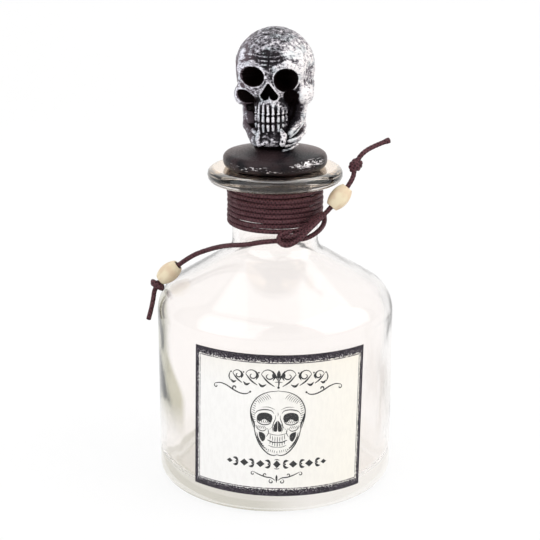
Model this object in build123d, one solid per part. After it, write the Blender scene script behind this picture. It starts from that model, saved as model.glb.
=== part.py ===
from build123d import *
import os
from math import ceil, cos, pi, radians, sin, sqrt, tan
import numpy as np

# Poison bottle with a skull stopper. Lengths are in millimetres, angles in degrees.
# The origin is the centre of the foot, +Z runs up the bottle and the label faces -Y.

# Glass bottle
body_r = 50.0
wall = 3.0
base_t = 6.0
foot_inset = 6.0
foot_rise = 1.8
foot_w = 5.0
base_edge_r = 4.5
inside_edge_r = 7.0
shoulder_z = 80.8
shoulder_slope = 31.5
shoulder_r = 14.0
neck_r = 18.0
neck_wall = 3.0
neck_root_r = 6.0
lip_z = 128.4
lip_t = 6.0
lip_r = 28.1
lip_edge_r = 2.8
lip_root_r = 0.8
mouth_edge_r = 1.0

# Label
label_z = 8.7
label_h = 60.8
label_half_angle = 42.2
label_turn = 2.06
label_tilt = 1.2
label_t = 0.3
glue_t = 0.05

# Stopper
disc_r = 21.6
disc_t = 5.8
disc_edge_r = 2.7
disc_crown = 2.8
seat_r = 10.2
spigot_r = 5.0
spigot_l = 8.0
spigot_gap = 0.1
cork_l = 21.0
cork_gap = 0.2
cork_taper = 0.8
cork_edge_r = 1.0
socket_spare = 0.5

# Skull: its face looks along -Y before it is turned on its seat
skull_h = 48.5
skull_w = 32.8
skull_d = 39.0
skull_turn = -8.0
skull_shift = -0.4
skull_foot_r = 9.4

# Cord: the winding's tube is drawn in, so that its turns stay apart
cord_d = 2.0
cord_gap = 0.3
turn_pitch = 2.1
turn_gap = 0.45
turns = 7.6
turn_steps_a_turn = 4
winding_end_angle = 12.0
knot_gap = 0.15
bend_share = 0.45
left_exit_share = 0.5
right_exit_share = 0.2

# Beads and end knots: each bead's place is a length along its run of the cord
bead_l = 10.2
bead_r = 3.95
bead_end_r = 2.4
bead_bore_r = 1.5
left_bead_along = 11.0
right_bead_along = 9.0
left_bead_rest = 0.8
right_bead_play = 7.6
left_knot_r = 3.3
left_knot_l = 3.4
right_knot_r = 2.5
right_knot_l = 4.6
knot_round_share = 0.45

# Skull forms, as shares of its width, depth and height above the seat: the middle of each
# ellipsoid and its half sizes
cranium_shares = (0, 0.064, 0.662, 0.5, 0.5, 0.338)
brow_shares = (0.19, -0.3, 0.735, 0.2, 0.13, 0.07)
cheek_shares = (0.38, -0.17, 0.47, 0.13, 0.22, 0.075)
chin_shares = (0.15, -0.37, 0.125, 0.07, 0.06, 0.06)
jaw_angle_shares = (0.3, 0.06, 0.27, 0.11, 0.16, 0.13)
orbit_shares = (0.207, -0.46, 0.617, 0.14, 0.24, 0.094)
hollow_shares = (0.27, -0.42, 0.475, 0.1, 0.13, 0.075)
temple_shares = (0.57, -0.13, 0.6, 0.1, 0.2, 0.11)
ramus_shares = (0.33, -0.38, 0.285, 0.07, 0.12, 0.1)
nostril_shares = (0.045, -0.44, 0.475, 0.055, 0.1, 0.052)
nose_top_shares = (0, -0.43, 0.535, 0.045, 0.1, 0.07)

# Face block from chin to brow: height, half width, front and back, as shares
face_shares = [
    (0.025, 0.17, -0.37, -0.1),
    (0.11, 0.28, -0.4, 0.08),
    (0.21, 0.365, -0.405, 0.18),
    (0.34, 0.395, -0.41, 0.22),
    (0.45, 0.44, -0.4, 0.25),
    (0.58, 0.45, -0.4, 0.25),
    (0.72, 0.43, -0.385, 0.2),
    (0.83, 0.33, -0.34, 0.15),
]
face_fullness = 2.5
face_points = 16

# Teeth: two rows of rounded pegs round the front of the jaws
teeth_a_row = 8
tooth_arch_share = 0.3
tooth_middle_share = -0.1
tooth_spread = 60.0
tooth_shares = (0.044, 0.045, 0.075)
tooth_row_shares = (0.375, 0.235)

# Routes of the cord beyond the winding, points chosen by hand
tie_left_route = [
    (10.0, -19.0, 111.8),
    (13.4, -17.4, 113.9),
    (17.8, -13.1, 116.4),
    (21.0, -9.6, 115.2),
    (20.6, -11.8, 111.8),
    (16.7, -16.4, 109.8),
    (11.0, -19.2, 107.8),
]
tie_right_route = [
    (5.6, -20.8, 110.7),
    (2.2, -22.0, 110.4),
    (2.9, -23.8, 107.4),
    (7.4, -24.4, 107.9),
    (13.2, -22.2, 112.6),
]
left_bead_run = [(-36.3, -4.2, 96.5), (-50.8, -3.0, 84.2)]
right_bead_run = [(20.4, -16.3, 118.0), (31.6, -12.8, 131.0)]
left_tail_route = [
    (-3.5, -21.7, 108.1),
    (-11.9, -19.5, 105.9),
    (-19.5, -14.0, 104.3),
    (-27.0, -8.5, 101.2),
    *left_bead_run,
    (-51.6, -6.2, 76.5),
    (-53.5, -7.4, 70.0),
]
right_tail_route = [
    *right_bead_run,
    (32.3, -12.0, 137.0),
    (34.6, -11.2, 141.6),
    (39.3, -10.0, 144.7),
    (46.3, -8.0, 146.9),
]

# Worked out from the sizes above
slope = radians(shoulder_slope)
mouth_z = lip_z + lip_t
bore_r = neck_r - neck_wall
inner_r = body_r - wall
foot_r = body_r - foot_inset
wound_d = turn_pitch - turn_gap
winding_r = neck_r + cord_gap + wound_d / 2
winding_low = lip_z - cord_gap - wound_d / 2 - turns * turn_pitch
seat_z = mouth_z + disc_t + disc_crown


def turned(corners, radii):
    """A solid turned about the Z axis from (radius, height) corners, each with its rounding."""
    outline = FilletPolyline(*corners, radius=radii, close=True)
    return revolve(make_face(Plane.XZ * outline), Axis.Z)


def shoulder_line(radius, inset):
    """Height of the sloped shoulder at a radius, or of a line parallel to it and inset by a wall."""
    return shoulder_z + (body_r - radius) * tan(slope) - inset / cos(slope)


def glass_bottle():
    """Body, sloped shoulder, neck and ring lip in one wall, over a thick pushed-up base."""
    corners = [
        (0, foot_rise),
        (foot_r - foot_w, foot_rise),
        (foot_r - foot_w / 2, 0),
        (body_r, 0),
        (body_r, shoulder_z),
        (neck_r, shoulder_line(neck_r, 0)),
        (neck_r, lip_z),
        (lip_r, lip_z),
        (lip_r, mouth_z),
        (bore_r, mouth_z),
        (bore_r, shoulder_line(bore_r, wall)),
        (inner_r, shoulder_line(inner_r, wall)),
        (inner_r, base_t),
        (0, base_t + foot_rise),
    ]
    radii = [
        0,
        foot_rise,
        foot_rise / 2,
        base_edge_r,
        shoulder_r,
        neck_root_r,
        lip_root_r,
        lip_edge_r,
        lip_edge_r,
        mouth_edge_r,
        neck_root_r + wall,
        shoulder_r - wall,
        inside_edge_r,
        0,
    ]
    return turned(corners, radii)


def front_label():
    """A thin sheet on the cylinder, cut from a ring by a slightly tilted rectangle."""
    inner = body_r + glue_t
    outer = inner + label_t
    middle_z = label_z + label_h / 2
    ring = Pos(0, 0, middle_z) * (Cylinder(outer, 2 * label_h) - Cylinder(inner, 2 * label_h))
    width = 2 * outer * sin(radians(label_half_angle))
    cutter = Pos(0, -body_r, 0) * Box(width, body_r, label_h)
    cutter = Pos(0, 0, middle_z) * Rot(0, label_tilt, 0) * cutter
    return Rot(0, 0, label_turn) * (ring & cutter)


def stopper_disc():
    """A low domed disc with a flat seat for the skull and a spigot for the cork."""
    corners = [
        (0, mouth_z - spigot_l),
        (spigot_r, mouth_z - spigot_l),
        (spigot_r, mouth_z),
        (disc_r, mouth_z),
        (disc_r, mouth_z + disc_t),
        (seat_r, seat_z),
        (0, seat_z),
    ]
    return turned(corners, [0, 0, 0, disc_edge_r, disc_edge_r, 0, 0])


def cork_plug():
    """A tapered cork under the disc, with a blind socket for the spigot."""
    top_r = bore_r - cork_gap
    bottom_r = top_r - cork_taper
    bottom_z = mouth_z - cork_l
    socket_r = spigot_r + spigot_gap
    socket_z = mouth_z - spigot_l - socket_spare
    corners = [
        (0, bottom_z),
        (bottom_r, bottom_z),
        (top_r, mouth_z),
        (socket_r, mouth_z),
        (socket_r, socket_z),
        (0, socket_z),
    ]
    return turned(corners, [0, cork_edge_r, 0, 0, 0, 0])


def ellipsoid(place, half):
    """An ellipsoid with its middle and its three half sizes."""
    return Pos(*place) * scale(Sphere(1), by=half)


def skull_form(shares, side=1):
    """One ellipsoid of the skull from its shares, on one side of the face."""
    x, y, z, a, b, c = shares
    place = (side * x * skull_w, y * skull_d, seat_z + z * skull_h)
    return ellipsoid(place, (a * skull_w, b * skull_d, c * skull_h))


def face_section(height, half_width, front, back):
    """A closed, squarish oval across the face at one height."""
    middle = (front + back) / 2 * skull_d
    half_depth = (back - front) / 2 * skull_d
    power = 2 / face_fullness
    points = []
    for i in range(face_points):
        turn = 2 * pi * i / face_points
        across = abs(cos(turn)) ** power * (1 if cos(turn) > 0 else -1)
        along = abs(sin(turn)) ** power * (1 if sin(turn) > 0 else -1)
        points.append((half_width * skull_w * across, middle + half_depth * along))
    return Pos(0, 0, seat_z + height * skull_h) * make_face(Spline(*points, periodic=True))


def teeth():
    """Both rows of teeth, spread evenly over the front arch."""
    found = []
    a, b, c = tooth_shares
    for row in tooth_row_shares:
        for i in range(teeth_a_row):
            turn = radians(tooth_spread * (2 * i / (teeth_a_row - 1) - 1))
            x = tooth_arch_share * skull_w * sin(turn)
            y = tooth_middle_share * skull_d - tooth_arch_share * skull_d * cos(turn)
            z = seat_z + row * skull_h
            found.append(ellipsoid((x, y, z), (a * skull_w, b * skull_d, c * skull_h)))
    return found


def skull_finial():
    """Cranium, face block, brow, cheeks, teeth and chin, less the orbits, nose and hollows."""
    block = loft([face_section(*shares) for shares in face_shares])
    foot_h = skull_h * face_shares[1][0]
    foot = Pos(0, 0, seat_z + foot_h / 2) * Cylinder(skull_foot_r, foot_h)
    body = skull_form(cranium_shares) + block + foot
    for side in (-1, 1):
        for shares in (brow_shares, cheek_shares, jaw_angle_shares, chin_shares):
            body += skull_form(shares, side)
    body += teeth()
    for side in (-1, 1):
        for shares in (orbit_shares, hollow_shares, temple_shares, ramus_shares, nostril_shares):
            body -= skull_form(shares, side)
    body -= skull_form(nose_top_shares)
    return Pos(skull_shift, 0, 0) * Rot(0, 0, skull_turn) * body


def biarc(start, start_way, end, end_way):
    """Two tangent arcs from one point and direction to another."""
    span = end - start
    ways = start_way + end_way
    a = 2 * start_way.dot(end_way) - 2
    b = -2 * span.dot(ways)
    c = span.dot(span)
    reach = (-b - sqrt(b * b - 4 * a * c)) / (2 * a)
    middle = (start + start_way * reach + end - end_way * reach) * 0.5
    middle_way = (end - end_way * reach - start - start_way * reach).normalized()
    first = Edge.make_tangent_arc(start, start_way, middle)
    return [first, Edge.make_tangent_arc(middle, middle_way, end)]


def helix_point(angle):
    """A point on the winding's line, at degrees from the front, with its direction there."""
    drop = turn_pitch * (winding_end_angle - angle) / 360
    place = Vector(winding_r * sin(radians(angle)), -winding_r * cos(radians(angle)), winding_low + drop)
    way = Vector(cos(radians(angle)), sin(radians(angle)), -turn_pitch / (2 * pi * winding_r))
    return place, way.normalized()


def winding_line():
    """The winding's line: a straight end, quarter turns as biarcs going down, and a straight end."""
    steps = ceil(turns * turn_steps_a_turn)
    first = winding_end_angle - 360 * turns
    angles = [first + (winding_end_angle - first) * i / steps for i in range(steps + 1)]
    ends = [helix_point(angle) for angle in angles]
    edges = []
    for (place, way), (next_place, next_way) in zip(ends[:-1], ends[1:]):
        edges += biarc(place, way, next_place, next_way)
    top, top_way = ends[0]
    low, low_way = ends[-1]
    edges = [Edge.make_line(top - top_way * wound_d, top)] + edges
    edges.append(Edge.make_line(low, low + low_way * wound_d))
    return Wire(edges)


def tube(line, diameter):
    """A round cord along a line of straight runs and arcs."""
    start = Plane(line @ 0, z_dir=line % 0)
    return sweep(start * Circle(diameter / 2), path=line)


def points_along(line, step):
    """Points spaced along a line."""
    count = ceil(line.length / step)
    return np.array([tuple(line @ (i / count)) for i in range(count + 1)])


def least_gap(line, diameter, apart):
    """Least gap of a cord to itself, measured on points that are some length apart along its line."""
    step = diameter / 4
    points = points_along(line, step)
    skip = ceil(apart / step)
    spans = []
    for i, point in enumerate(points[:-skip]):
        spans.append(np.linalg.norm(points[i + skip :] - point, axis=1).min())
    return min(spans) - diameter


def between(one, two, share):
    """A point part of the way from one to another, where two nodes of the cord meet."""
    return tuple(a + (b - a) * share for a, b in zip(one, two))


left_exit = between(tie_left_route[-1], left_tail_route[0], left_exit_share)
right_exit = between(tie_right_route[-1], right_tail_route[0], right_exit_share)


def corner_radii(points, bend_share):
    """For each corner, the radius that takes the given share of its shorter run."""
    radii = []
    for before, corner, after in zip(points[:-2], points[1:-1], points[2:]):
        one = Vector(*corner) - Vector(*before)
        two = Vector(*after) - Vector(*corner)
        half_turn = radians(one.get_angle(two)) / 2
        radii.append(bend_share * min(one.length, two.length) / tan(half_turn))
    return radii


def route_line(name, points):
    """Straight runs joined by tangent arcs as large as the runs allow."""
    radii = corner_radii(points, bend_share)
    print(name, "radii", [round(r, 1) for r in radii])
    return Wire(FilletPolyline(*points, radius=radii).edges())


def cord_along(name, line, diameter):
    """A cord's tube along a line, with its volume compared with section times length."""
    solid = tube(line, diameter)
    expected = pi * diameter**2 / 4 * line.length
    print(name, "length", round(line.length, 1), "volume ratio", round(solid.volume / expected, 4))
    return solid


winding = winding_line()
winding_end = winding @ 1
winding_end_way = winding % 1
print("winding length", round(winding.length, 1))
print("winding least gap", round(least_gap(winding, wound_d, 2 * pi * winding_r / 2), 3))
neck_winding = tube(winding, wound_d)

winding_lead = tuple(winding_end + winding_end_way * wound_d)
tie_left_points = [tuple(winding_end), winding_lead] + tie_left_route + [left_exit]
tie_left_line = route_line("tie to left tail", tie_left_points)
tie_right_line = route_line("tie to right tail", tie_right_route + [right_exit])
left_line = route_line("left tail", [left_exit] + left_tail_route)
right_line = route_line("right tail", [right_exit] + right_tail_route)
tie_knot = Compound(
    [
        cord_along("tie to left tail", tie_left_line, wound_d),
        cord_along("tie to right tail", tie_right_line, wound_d),
    ]
)
left_tail = cord_along("left tail", left_line, cord_d)
right_tail = cord_along("right tail", right_line, cord_d)


def run_plane(run, along):
    """A plane square to a straight run of the cord, at a length along it."""
    start, end = (Vector(*point) for point in run)
    way = (end - start).normalized()
    return Plane(start + way * along, z_dir=way)


def plane_past(line, place, further):
    """A plane square to a cord's line, a length further along it than a place on it."""
    share = line.param_at_point(place) + further / line.length
    return Plane(line @ share, z_dir=line % share)


def bead():
    """An oval bead about the Z axis, with a bore for the cord."""
    half = bead_l / 2
    side = ThreePointArc((bead_end_r, -half), (bead_r, 0), (bead_end_r, half))
    ends = Polyline((bead_end_r, half), (bead_bore_r, half), (bead_bore_r, -half), (bead_end_r, -half))
    return revolve(make_face(Plane.XZ * (side + ends)), Axis.Z)


def end_knot(plane, line, radius, length):
    """A rounded lump for a knot, with a way through it for the cord."""
    rounding = knot_round_share * length
    corners = [(0, -length / 2), (radius, -length / 2), (radius, length / 2), (0, length / 2)]
    return plane * turned(corners, [0, rounding, rounding, 0]) - tube(line, cord_d + 2 * knot_gap)


left_bead_plane = run_plane(left_bead_run, left_bead_along)
right_bead_plane = run_plane(right_bead_run, right_bead_along)
left_knot_further = bead_l / 2 + left_bead_rest + left_knot_l / 2
right_knot_further = bead_l / 2 + right_bead_play + right_knot_l / 2
left_knot_plane = plane_past(left_line, left_bead_plane.origin, left_knot_further)
right_knot_plane = plane_past(right_line, right_bead_plane.origin, right_knot_further)
for name, plane in (("left bead", left_bead_plane), ("right bead", right_bead_plane)):
    print(name, "middle", [round(v, 2) for v in plane.origin])
    print(name, "axis", [round(v, 5) for v in plane.z_dir])

os.makedirs("parts", exist_ok=True)
nodes = {
    "glass_bottle": glass_bottle(),
    "front_label": front_label(),
    "stopper_disc": stopper_disc(),
    "cork_plug": cork_plug(),
    "skull_finial": skull_finial(),
    "neck_winding": neck_winding,
    "tie_knot": tie_knot,
    "left_tail": left_tail,
    "right_tail": right_tail,
    "left_bead": left_bead_plane * bead(),
    "right_bead": right_bead_plane * bead(),
    "left_end_knot": end_knot(left_knot_plane, left_line, left_knot_r, left_knot_l),
    "right_end_knot": end_knot(right_knot_plane, right_line, right_knot_r, right_knot_l),
}
for name, solid in nodes.items():
    solid.label = name
    export_step(solid, f"parts/{name}.step")
    print(name, "volume", round(solid.volume, 1))
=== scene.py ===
from math import cos, pi, radians, sin, sqrt, tan

import bpy
import numpy as np
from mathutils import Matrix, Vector


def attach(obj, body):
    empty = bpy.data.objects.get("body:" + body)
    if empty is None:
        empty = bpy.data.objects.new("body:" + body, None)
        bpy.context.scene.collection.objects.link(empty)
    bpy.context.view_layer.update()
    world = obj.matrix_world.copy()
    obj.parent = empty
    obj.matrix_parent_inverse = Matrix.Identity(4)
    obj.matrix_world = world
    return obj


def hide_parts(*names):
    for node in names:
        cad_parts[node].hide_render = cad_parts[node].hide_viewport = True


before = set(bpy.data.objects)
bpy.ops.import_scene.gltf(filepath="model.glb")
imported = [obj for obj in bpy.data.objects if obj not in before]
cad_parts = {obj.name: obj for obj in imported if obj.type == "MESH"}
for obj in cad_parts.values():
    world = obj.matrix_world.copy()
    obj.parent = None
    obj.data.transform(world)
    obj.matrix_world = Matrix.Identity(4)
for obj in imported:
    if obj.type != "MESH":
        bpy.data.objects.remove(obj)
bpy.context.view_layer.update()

# Poison bottle with a skull stopper. Sizes here are in millimetres and angles in degrees, and
# every piece is turned into metres where its mesh is filled.
MM = 0.001

# Photograph's camera, solved from the label's edges, the body's sides and the foot
camera_distance = 587.2
camera_elevation = 16.804
camera_target_z = 89.4
camera_lens = 92.37
camera_shift = -0.00948
camera_sensor = 36.0

# Glass bottle
body_r = 50.0
wall = 3.0
base_t = 6.0
foot_r = 44.0
foot_rise = 1.8
foot_w = 5.0
base_edge_r = 4.5
inside_edge_r = 7.0
shoulder_z = 80.8
shoulder_slope = radians(31.5)
shoulder_r = 14.0
neck_r = 18.0
neck_wall = 3.0
neck_root_r = 6.0
lip_z = 128.4
lip_t = 6.0
lip_r = 28.1
lip_edge_r = 2.8
lip_root_r = 0.8
mouth_edge_r = 1.0
inner_unevenness = 0.35
outer_unevenness = 0.05

# Label: its own coordinates are the length round the glass and the height, from its middle
label_z = 8.7
label_h = 60.8
label_half_angle = 42.2
label_turn = 2.06
label_tilt = 1.2
label_r = 50.05
label_t = 0.3
print_t = 0.04
ink_lift = 0.02

# Stopper
disc_r = 21.6
disc_t = 5.8
disc_edge_r = 2.7
disc_crown = 2.8
seat_r = 10.2
spigot_r = 5.0
spigot_l = 8.0
spigot_gap = 0.1
socket_spare = 0.5
cork_l = 21.0
cork_gap = 0.2
cork_taper = 0.8
cork_edge_r = 1.0

# Skull
skull_turn = -8.0
skull_shift = -0.4

# Cord, beads and knots
cord_d = 2.0
turn_pitch = 2.1
wound_d = 1.65
turns = 7.6
winding_end_angle = 12.0
cord_gap = 0.3
bead_l = 10.2
bead_r = 3.95
bead_end_r = 2.4
bead_bore_r = 1.5
left_exit_share = 0.5
right_exit_share = 0.2
left_bead_along = 11.0
right_bead_along = 9.0
left_bead_rest = 0.8
right_bead_play = 7.6
left_knot_l = 3.4
right_knot_l = 4.6
winding_unevenness = 0.16
plait_strands = 3
plait_pitch = 1.5
plait_relief = 0.07
plait_mean = 0.6

mouth_z = lip_z + lip_t
bore_r = neck_r - neck_wall
inner_r = body_r - wall
seat_z = mouth_z + disc_t + disc_crown
winding_r = neck_r + cord_gap + wound_d / 2
winding_low = lip_z - cord_gap - wound_d / 2 - turns * turn_pitch
label_mid_z = label_z + label_h / 2

# Routes of the cord, as in the part's source. The tie's points are moved a little to lie closer,
# and its middle strand is only here
tie_left_route = [
    (10.0, -19.0, 111.8),
    (13.4, -17.8, 113.9),
    (17.4, -14.2, 117.2),
    (20.2, -10.4, 117.0),
    (20.4, -11.6, 112.6),
    (16.7, -16.4, 109.8),
    (11.0, -19.2, 107.8),
]
tie_right_route = [
    (6.8, -20.6, 112.0),
    (2.0, -21.8, 111.8),
    (1.0, -23.0, 108.0),
    (4.8, -24.4, 106.6),
    (9.2, -24.2, 109.0),
    (13.2, -22.2, 112.6),
]
tie_middle_route = [
    (18.2, -13.4, 117.2),
    (15.8, -18.4, 115.2),
    (11.9, -21.0, 112.0),
    (8.0, -21.6, 110.2),
    (4.6, -21.4, 109.9),
    (1.8, -21.2, 109.8),
]
left_tail_route = [
    (-3.5, -21.7, 108.1),
    (-11.9, -19.5, 105.9),
    (-19.5, -14.0, 104.3),
    (-27.0, -8.5, 101.2),
    (-36.3, -4.2, 96.5),
    (-50.8, -3.0, 84.2),
    (-51.6, -6.2, 76.5),
    (-53.5, -7.4, 70.0),
]
right_tail_route = [
    (20.4, -16.3, 118.0),
    (31.6, -12.8, 131.0),
    (32.3, -12.0, 137.0),
    (34.6, -11.2, 141.6),
    (39.3, -10.0, 144.7),
    (46.3, -8.0, 146.9),
]


def between(one, two, share):
    """A point part of the way from one to another."""
    return tuple(a + (b - a) * share for a, b in zip(one, two))


left_exit = between(tie_left_route[-1], left_tail_route[0], left_exit_share)
right_exit = between(tie_right_route[-1], right_tail_route[0], right_exit_share)


# Meshes


def grid_faces(rows, columns, close_rows=False, close_columns=False):
    """Quads of a grid of points numbered row by row, with the row and column of each corner."""
    row, column = np.meshgrid(
        np.arange(rows if close_rows else rows - 1),
        np.arange(columns if close_columns else columns - 1),
        indexing="ij",
    )
    corner_row = np.stack([row, row, row + 1, row + 1], -1).reshape(-1, 4)
    corner_column = np.stack([column, column + 1, column + 1, column], -1).reshape(-1, 4)
    quads = corner_row % rows * columns + corner_column % columns
    return quads, corner_row, corner_column


def closed_grid(grid, ends=None, lengths=None):
    """Points, faces and pattern places of a grid closed round its columns.

    With two end points a fan closes each end; without them the rows close into a ring. The
    pattern place of a corner is its share of the way round and its row's length.
    """
    rows, columns = grid.shape[:2]
    quads, corner_row, corner_column = grid_faces(rows, columns, ends is None, True)
    lengths = np.arange(rows + 1) / rows if lengths is None else np.append(lengths, lengths[-1])
    points = grid.reshape(-1, 3)
    faces = quads.tolist()
    places = np.stack([corner_column / columns, lengths[corner_row]], -1).reshape(-1, 2)
    if ends is not None:
        first = len(points)
        points = np.vstack([points, np.asarray(ends, float)])
        a = np.arange(columns)
        b = (a + 1) % columns
        top = (rows - 1) * columns
        low_fan = np.stack([np.full(columns, first), b, a], -1)
        high_fan = np.stack([np.full(columns, first + 1), a + top, b + top], -1)
        faces += low_fan.tolist() + high_fan.tolist()
        for length, order in ((lengths[0], (0.5, 1, 0)), (lengths[rows - 1], (0.5, 0, 1))):
            across = (a[:, None] + np.array(order)) / columns
            places = np.vstack([places, np.stack([across, np.full_like(across, length)], -1).reshape(-1, 2)])
    return points, faces, places


def joined(parts):
    """One mesh from several sets of points, faces and pattern places."""
    points, faces, places, first = [], [], [], 0
    for part_points, part_faces, part_places in parts:
        points.append(part_points)
        faces += [[first + i for i in face] for face in part_faces]
        places.append(part_places)
        first += len(part_points)
    return np.vstack(points), faces, np.vstack(places)


def enclosed(points, faces):
    """Signed volume inside a closed mesh, from the fans of its faces."""
    total = 0.0
    for size in (3, 4):
        some = np.array([face for face in faces if len(face) == size], int)
        for k in range(1, size - 1):
            if len(some):
                a, b, c = points[some[:, 0]], points[some[:, k]], points[some[:, k + 1]]
                total += np.einsum("ij,ij->i", a, np.cross(b, c)).sum() / 6
    return total


def add_piece(name, body, material, mesh_parts, nodes=(), layers=None, sharp=50):
    """A mesh object at the origin, in metres, that rides on a body and stands for CAD nodes."""
    points, faces, places = mesh_parts
    if enclosed(points, faces) < 0:
        starts = np.cumsum([0] + [len(face) for face in faces])
        order = np.concatenate([np.arange(a, b)[::-1] for a, b in zip(starts[:-1], starts[1:])])
        places = places[order]
        faces = [face[::-1] for face in faces]
    mesh = bpy.data.meshes.new(name)
    mesh.from_pydata((points * MM).tolist(), [], faces)
    pattern = mesh.uv_layers.new(name="pattern")
    pattern.data.foreach_set("uv", places.astype(np.float32).ravel())
    for layer_name, values in (layers or {}).items():
        layer = mesh.attributes.new(layer_name, "FLOAT", "POINT")
        layer.data.foreach_set("value", np.asarray(values, np.float32).ravel())
    mesh.shade_smooth()
    mesh.set_sharp_from_angle(angle=radians(sharp))
    mesh.materials.append(material)
    piece = bpy.data.objects.new(name, mesh)
    bpy.context.scene.collection.objects.link(piece)
    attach(piece, body)
    if nodes:
        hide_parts(*nodes)
    return piece


# Shapes


def rounded_outline(corners, run_step, arc_steps, closed=False):
    """Points of an outline: straight runs cut into steps, and an arc tangent to both runs at each corner.

    A corner is its two coordinates and its radius.
    """
    corners = np.asarray(corners, float)
    corners, radii = corners[:, :2], corners[:, 2]
    count = len(corners)
    pieces = []
    for i, (corner, radius) in enumerate(zip(corners, radii)):
        if radius == 0 or (not closed and i in (0, count - 1)):
            pieces.append(corner[None])
            continue
        one = corners[i - 1] - corner
        two = corners[(i + 1) % count] - corner
        one /= np.linalg.norm(one)
        two /= np.linalg.norm(two)
        half = np.arccos(np.clip(one @ two, -1, 1)) / 2
        middle = corner + (one + two) / np.linalg.norm(one + two) * radius / sin(half)
        start = corner + one * radius / tan(half) - middle
        end = corner + two * radius / tan(half) - middle
        turn = pi - 2 * half
        share = np.linspace(0, 1, arc_steps)[:, None]
        pieces.append(middle + (np.sin((1 - share) * turn) * start + np.sin(share * turn) * end) / sin(turn))
    points = []
    for i, piece in enumerate(pieces):
        points.append(piece)
        if i < count - 1 or closed:
            a, b = piece[-1], pieces[(i + 1) % count][0]
            steps = max(int(np.ceil(np.linalg.norm(b - a) / run_step)), 1)
            points.append(a + (b - a) * np.linspace(0, 1, steps + 1)[1:-1, None])
    return np.vstack(points)


def turned_grid(outline, segments):
    """A grid turned about Z: each outline point's radius carried round at its height."""
    angle = np.linspace(0, 2 * pi, segments, endpoint=False)
    radius, height = outline[:, :1], outline[:, 1:]
    return np.stack([radius * np.cos(angle), radius * np.sin(angle), height + 0 * angle], -1)


def soft_noise(points, size, seed):
    """Smooth noise from -1 to 1: seeded values on a lattice of cells, blended by smooth steps."""
    table = np.random.default_rng(seed).uniform(-1, 1, (32, 32, 32))
    scaled = np.asarray(points) / size
    cell = np.floor(scaled).astype(int)
    part = scaled - cell
    part = part * part * (3 - 2 * part)
    total = 0
    for corner in range(8):
        step = np.array([corner & 1, corner >> 1 & 1, corner >> 2])
        weight = np.prod(np.where(step == 1, part, 1 - part), -1)
        i, j, k = np.moveaxis((cell + step) % 32, -1, 0)
        total = total + weight * table[i, j, k]
    return total


def smooth_step(value, low, high):
    """0 below low, 1 above high, and a smooth step between them."""
    share = np.clip((value - low) / (high - low), 0, 1)
    return share * share * (3 - 2 * share)


def bump_at(value, middle, width, power=2):
    """A bump of height 1 at a middle, falling off over a width."""
    return np.exp(-(np.abs((value - middle) / width) ** power))


def path_frames(path):
    """Directions along a path and two vectors square to each, carried along it without twist."""
    ways = np.gradient(path, axis=0)
    ways /= np.linalg.norm(ways, axis=1)[:, None]
    side = np.cross(ways[0], (0.0, 0.0, 1.0))
    sides = []
    for way in ways:
        side = side - way * (side @ way)
        side = side / np.linalg.norm(side)
        sides.append(side)
    sides = np.array(sides)
    return ways, sides, np.cross(ways, sides)


def cord_tube(path, diameter=cord_d, sides=18, end_round=0.4, end_swell=0.0):
    """A cord along a path: circles square to it, with a plaited relief and rounded ends.

    The relief is the larger of two crossing spiral waves round and along the cord, and the far
    end may swell, as a scorched end does.
    """
    path = np.asarray(path, float)
    ways, one, two = path_frames(path)
    radius = diameter / 2
    lengths = np.append(0, np.cumsum(np.linalg.norm(np.diff(path, axis=0), axis=1)))
    turn = np.linspace(0, 2 * pi, sides, endpoint=False)
    phase = 2 * pi * lengths[:, None] / plait_pitch
    waves = np.maximum(np.cos(plait_strands * turn + phase), np.cos(plait_strands * turn - phase))
    swell = end_swell * smooth_step(lengths, lengths[-1] - 2.6, lengths[-1] - 0.9)[:, None]
    ring = radius + plait_relief * (waves - plait_mean) + swell * (1 + 0.35 * np.cos(2 * turn + 0.7))
    grid = path[:, None] + ring[..., None] * (
        np.cos(turn)[:, None] * one[:, None] + np.sin(turn)[:, None] * two[:, None]
    )
    bends = np.radians([75, 50, 25])
    caps, tips = [], []
    for end, way in ((0, -ways[0]), (-1, ways[-1])):
        tip = way * radius * end_round
        caps.append([path[end] + tip * np.sin(b) + (grid[end] - path[end]) * np.cos(b) for b in bends])
        tips.append(path[end] + tip)
    grid = np.concatenate([caps[0], grid, caps[1][::-1]])
    lengths = np.concatenate([[lengths[0]] * len(bends), lengths, [lengths[-1]] * len(bends)])
    return closed_grid(grid, tips, lengths / diameter)


def spline_points(name, route, steps):
    """Points of a smooth NURBS line that has the route's points as its control points."""
    curve = bpy.data.curves.new(name, "CURVE")
    curve.dimensions = "3D"
    curve.resolution_u = steps
    spline = curve.splines.new("NURBS")
    spline.points.add(len(route) - 1)
    for point, place in zip(spline.points, route):
        point.co = (*(value * MM for value in place), 1)
    spline.order_u = 3
    spline.use_endpoint_u = True
    line = bpy.data.objects.new(name, curve)
    bpy.context.scene.collection.objects.link(line)
    bpy.context.view_layer.update()
    mesh = bpy.data.meshes.new_from_object(line.evaluated_get(bpy.context.evaluated_depsgraph_get()))
    points = np.zeros(len(mesh.vertices) * 3)
    mesh.vertices.foreach_get("co", points)
    bpy.data.objects.remove(line)
    bpy.data.curves.remove(curve)
    bpy.data.meshes.remove(mesh)
    return points.reshape(-1, 3) / MM


# Materials


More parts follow.
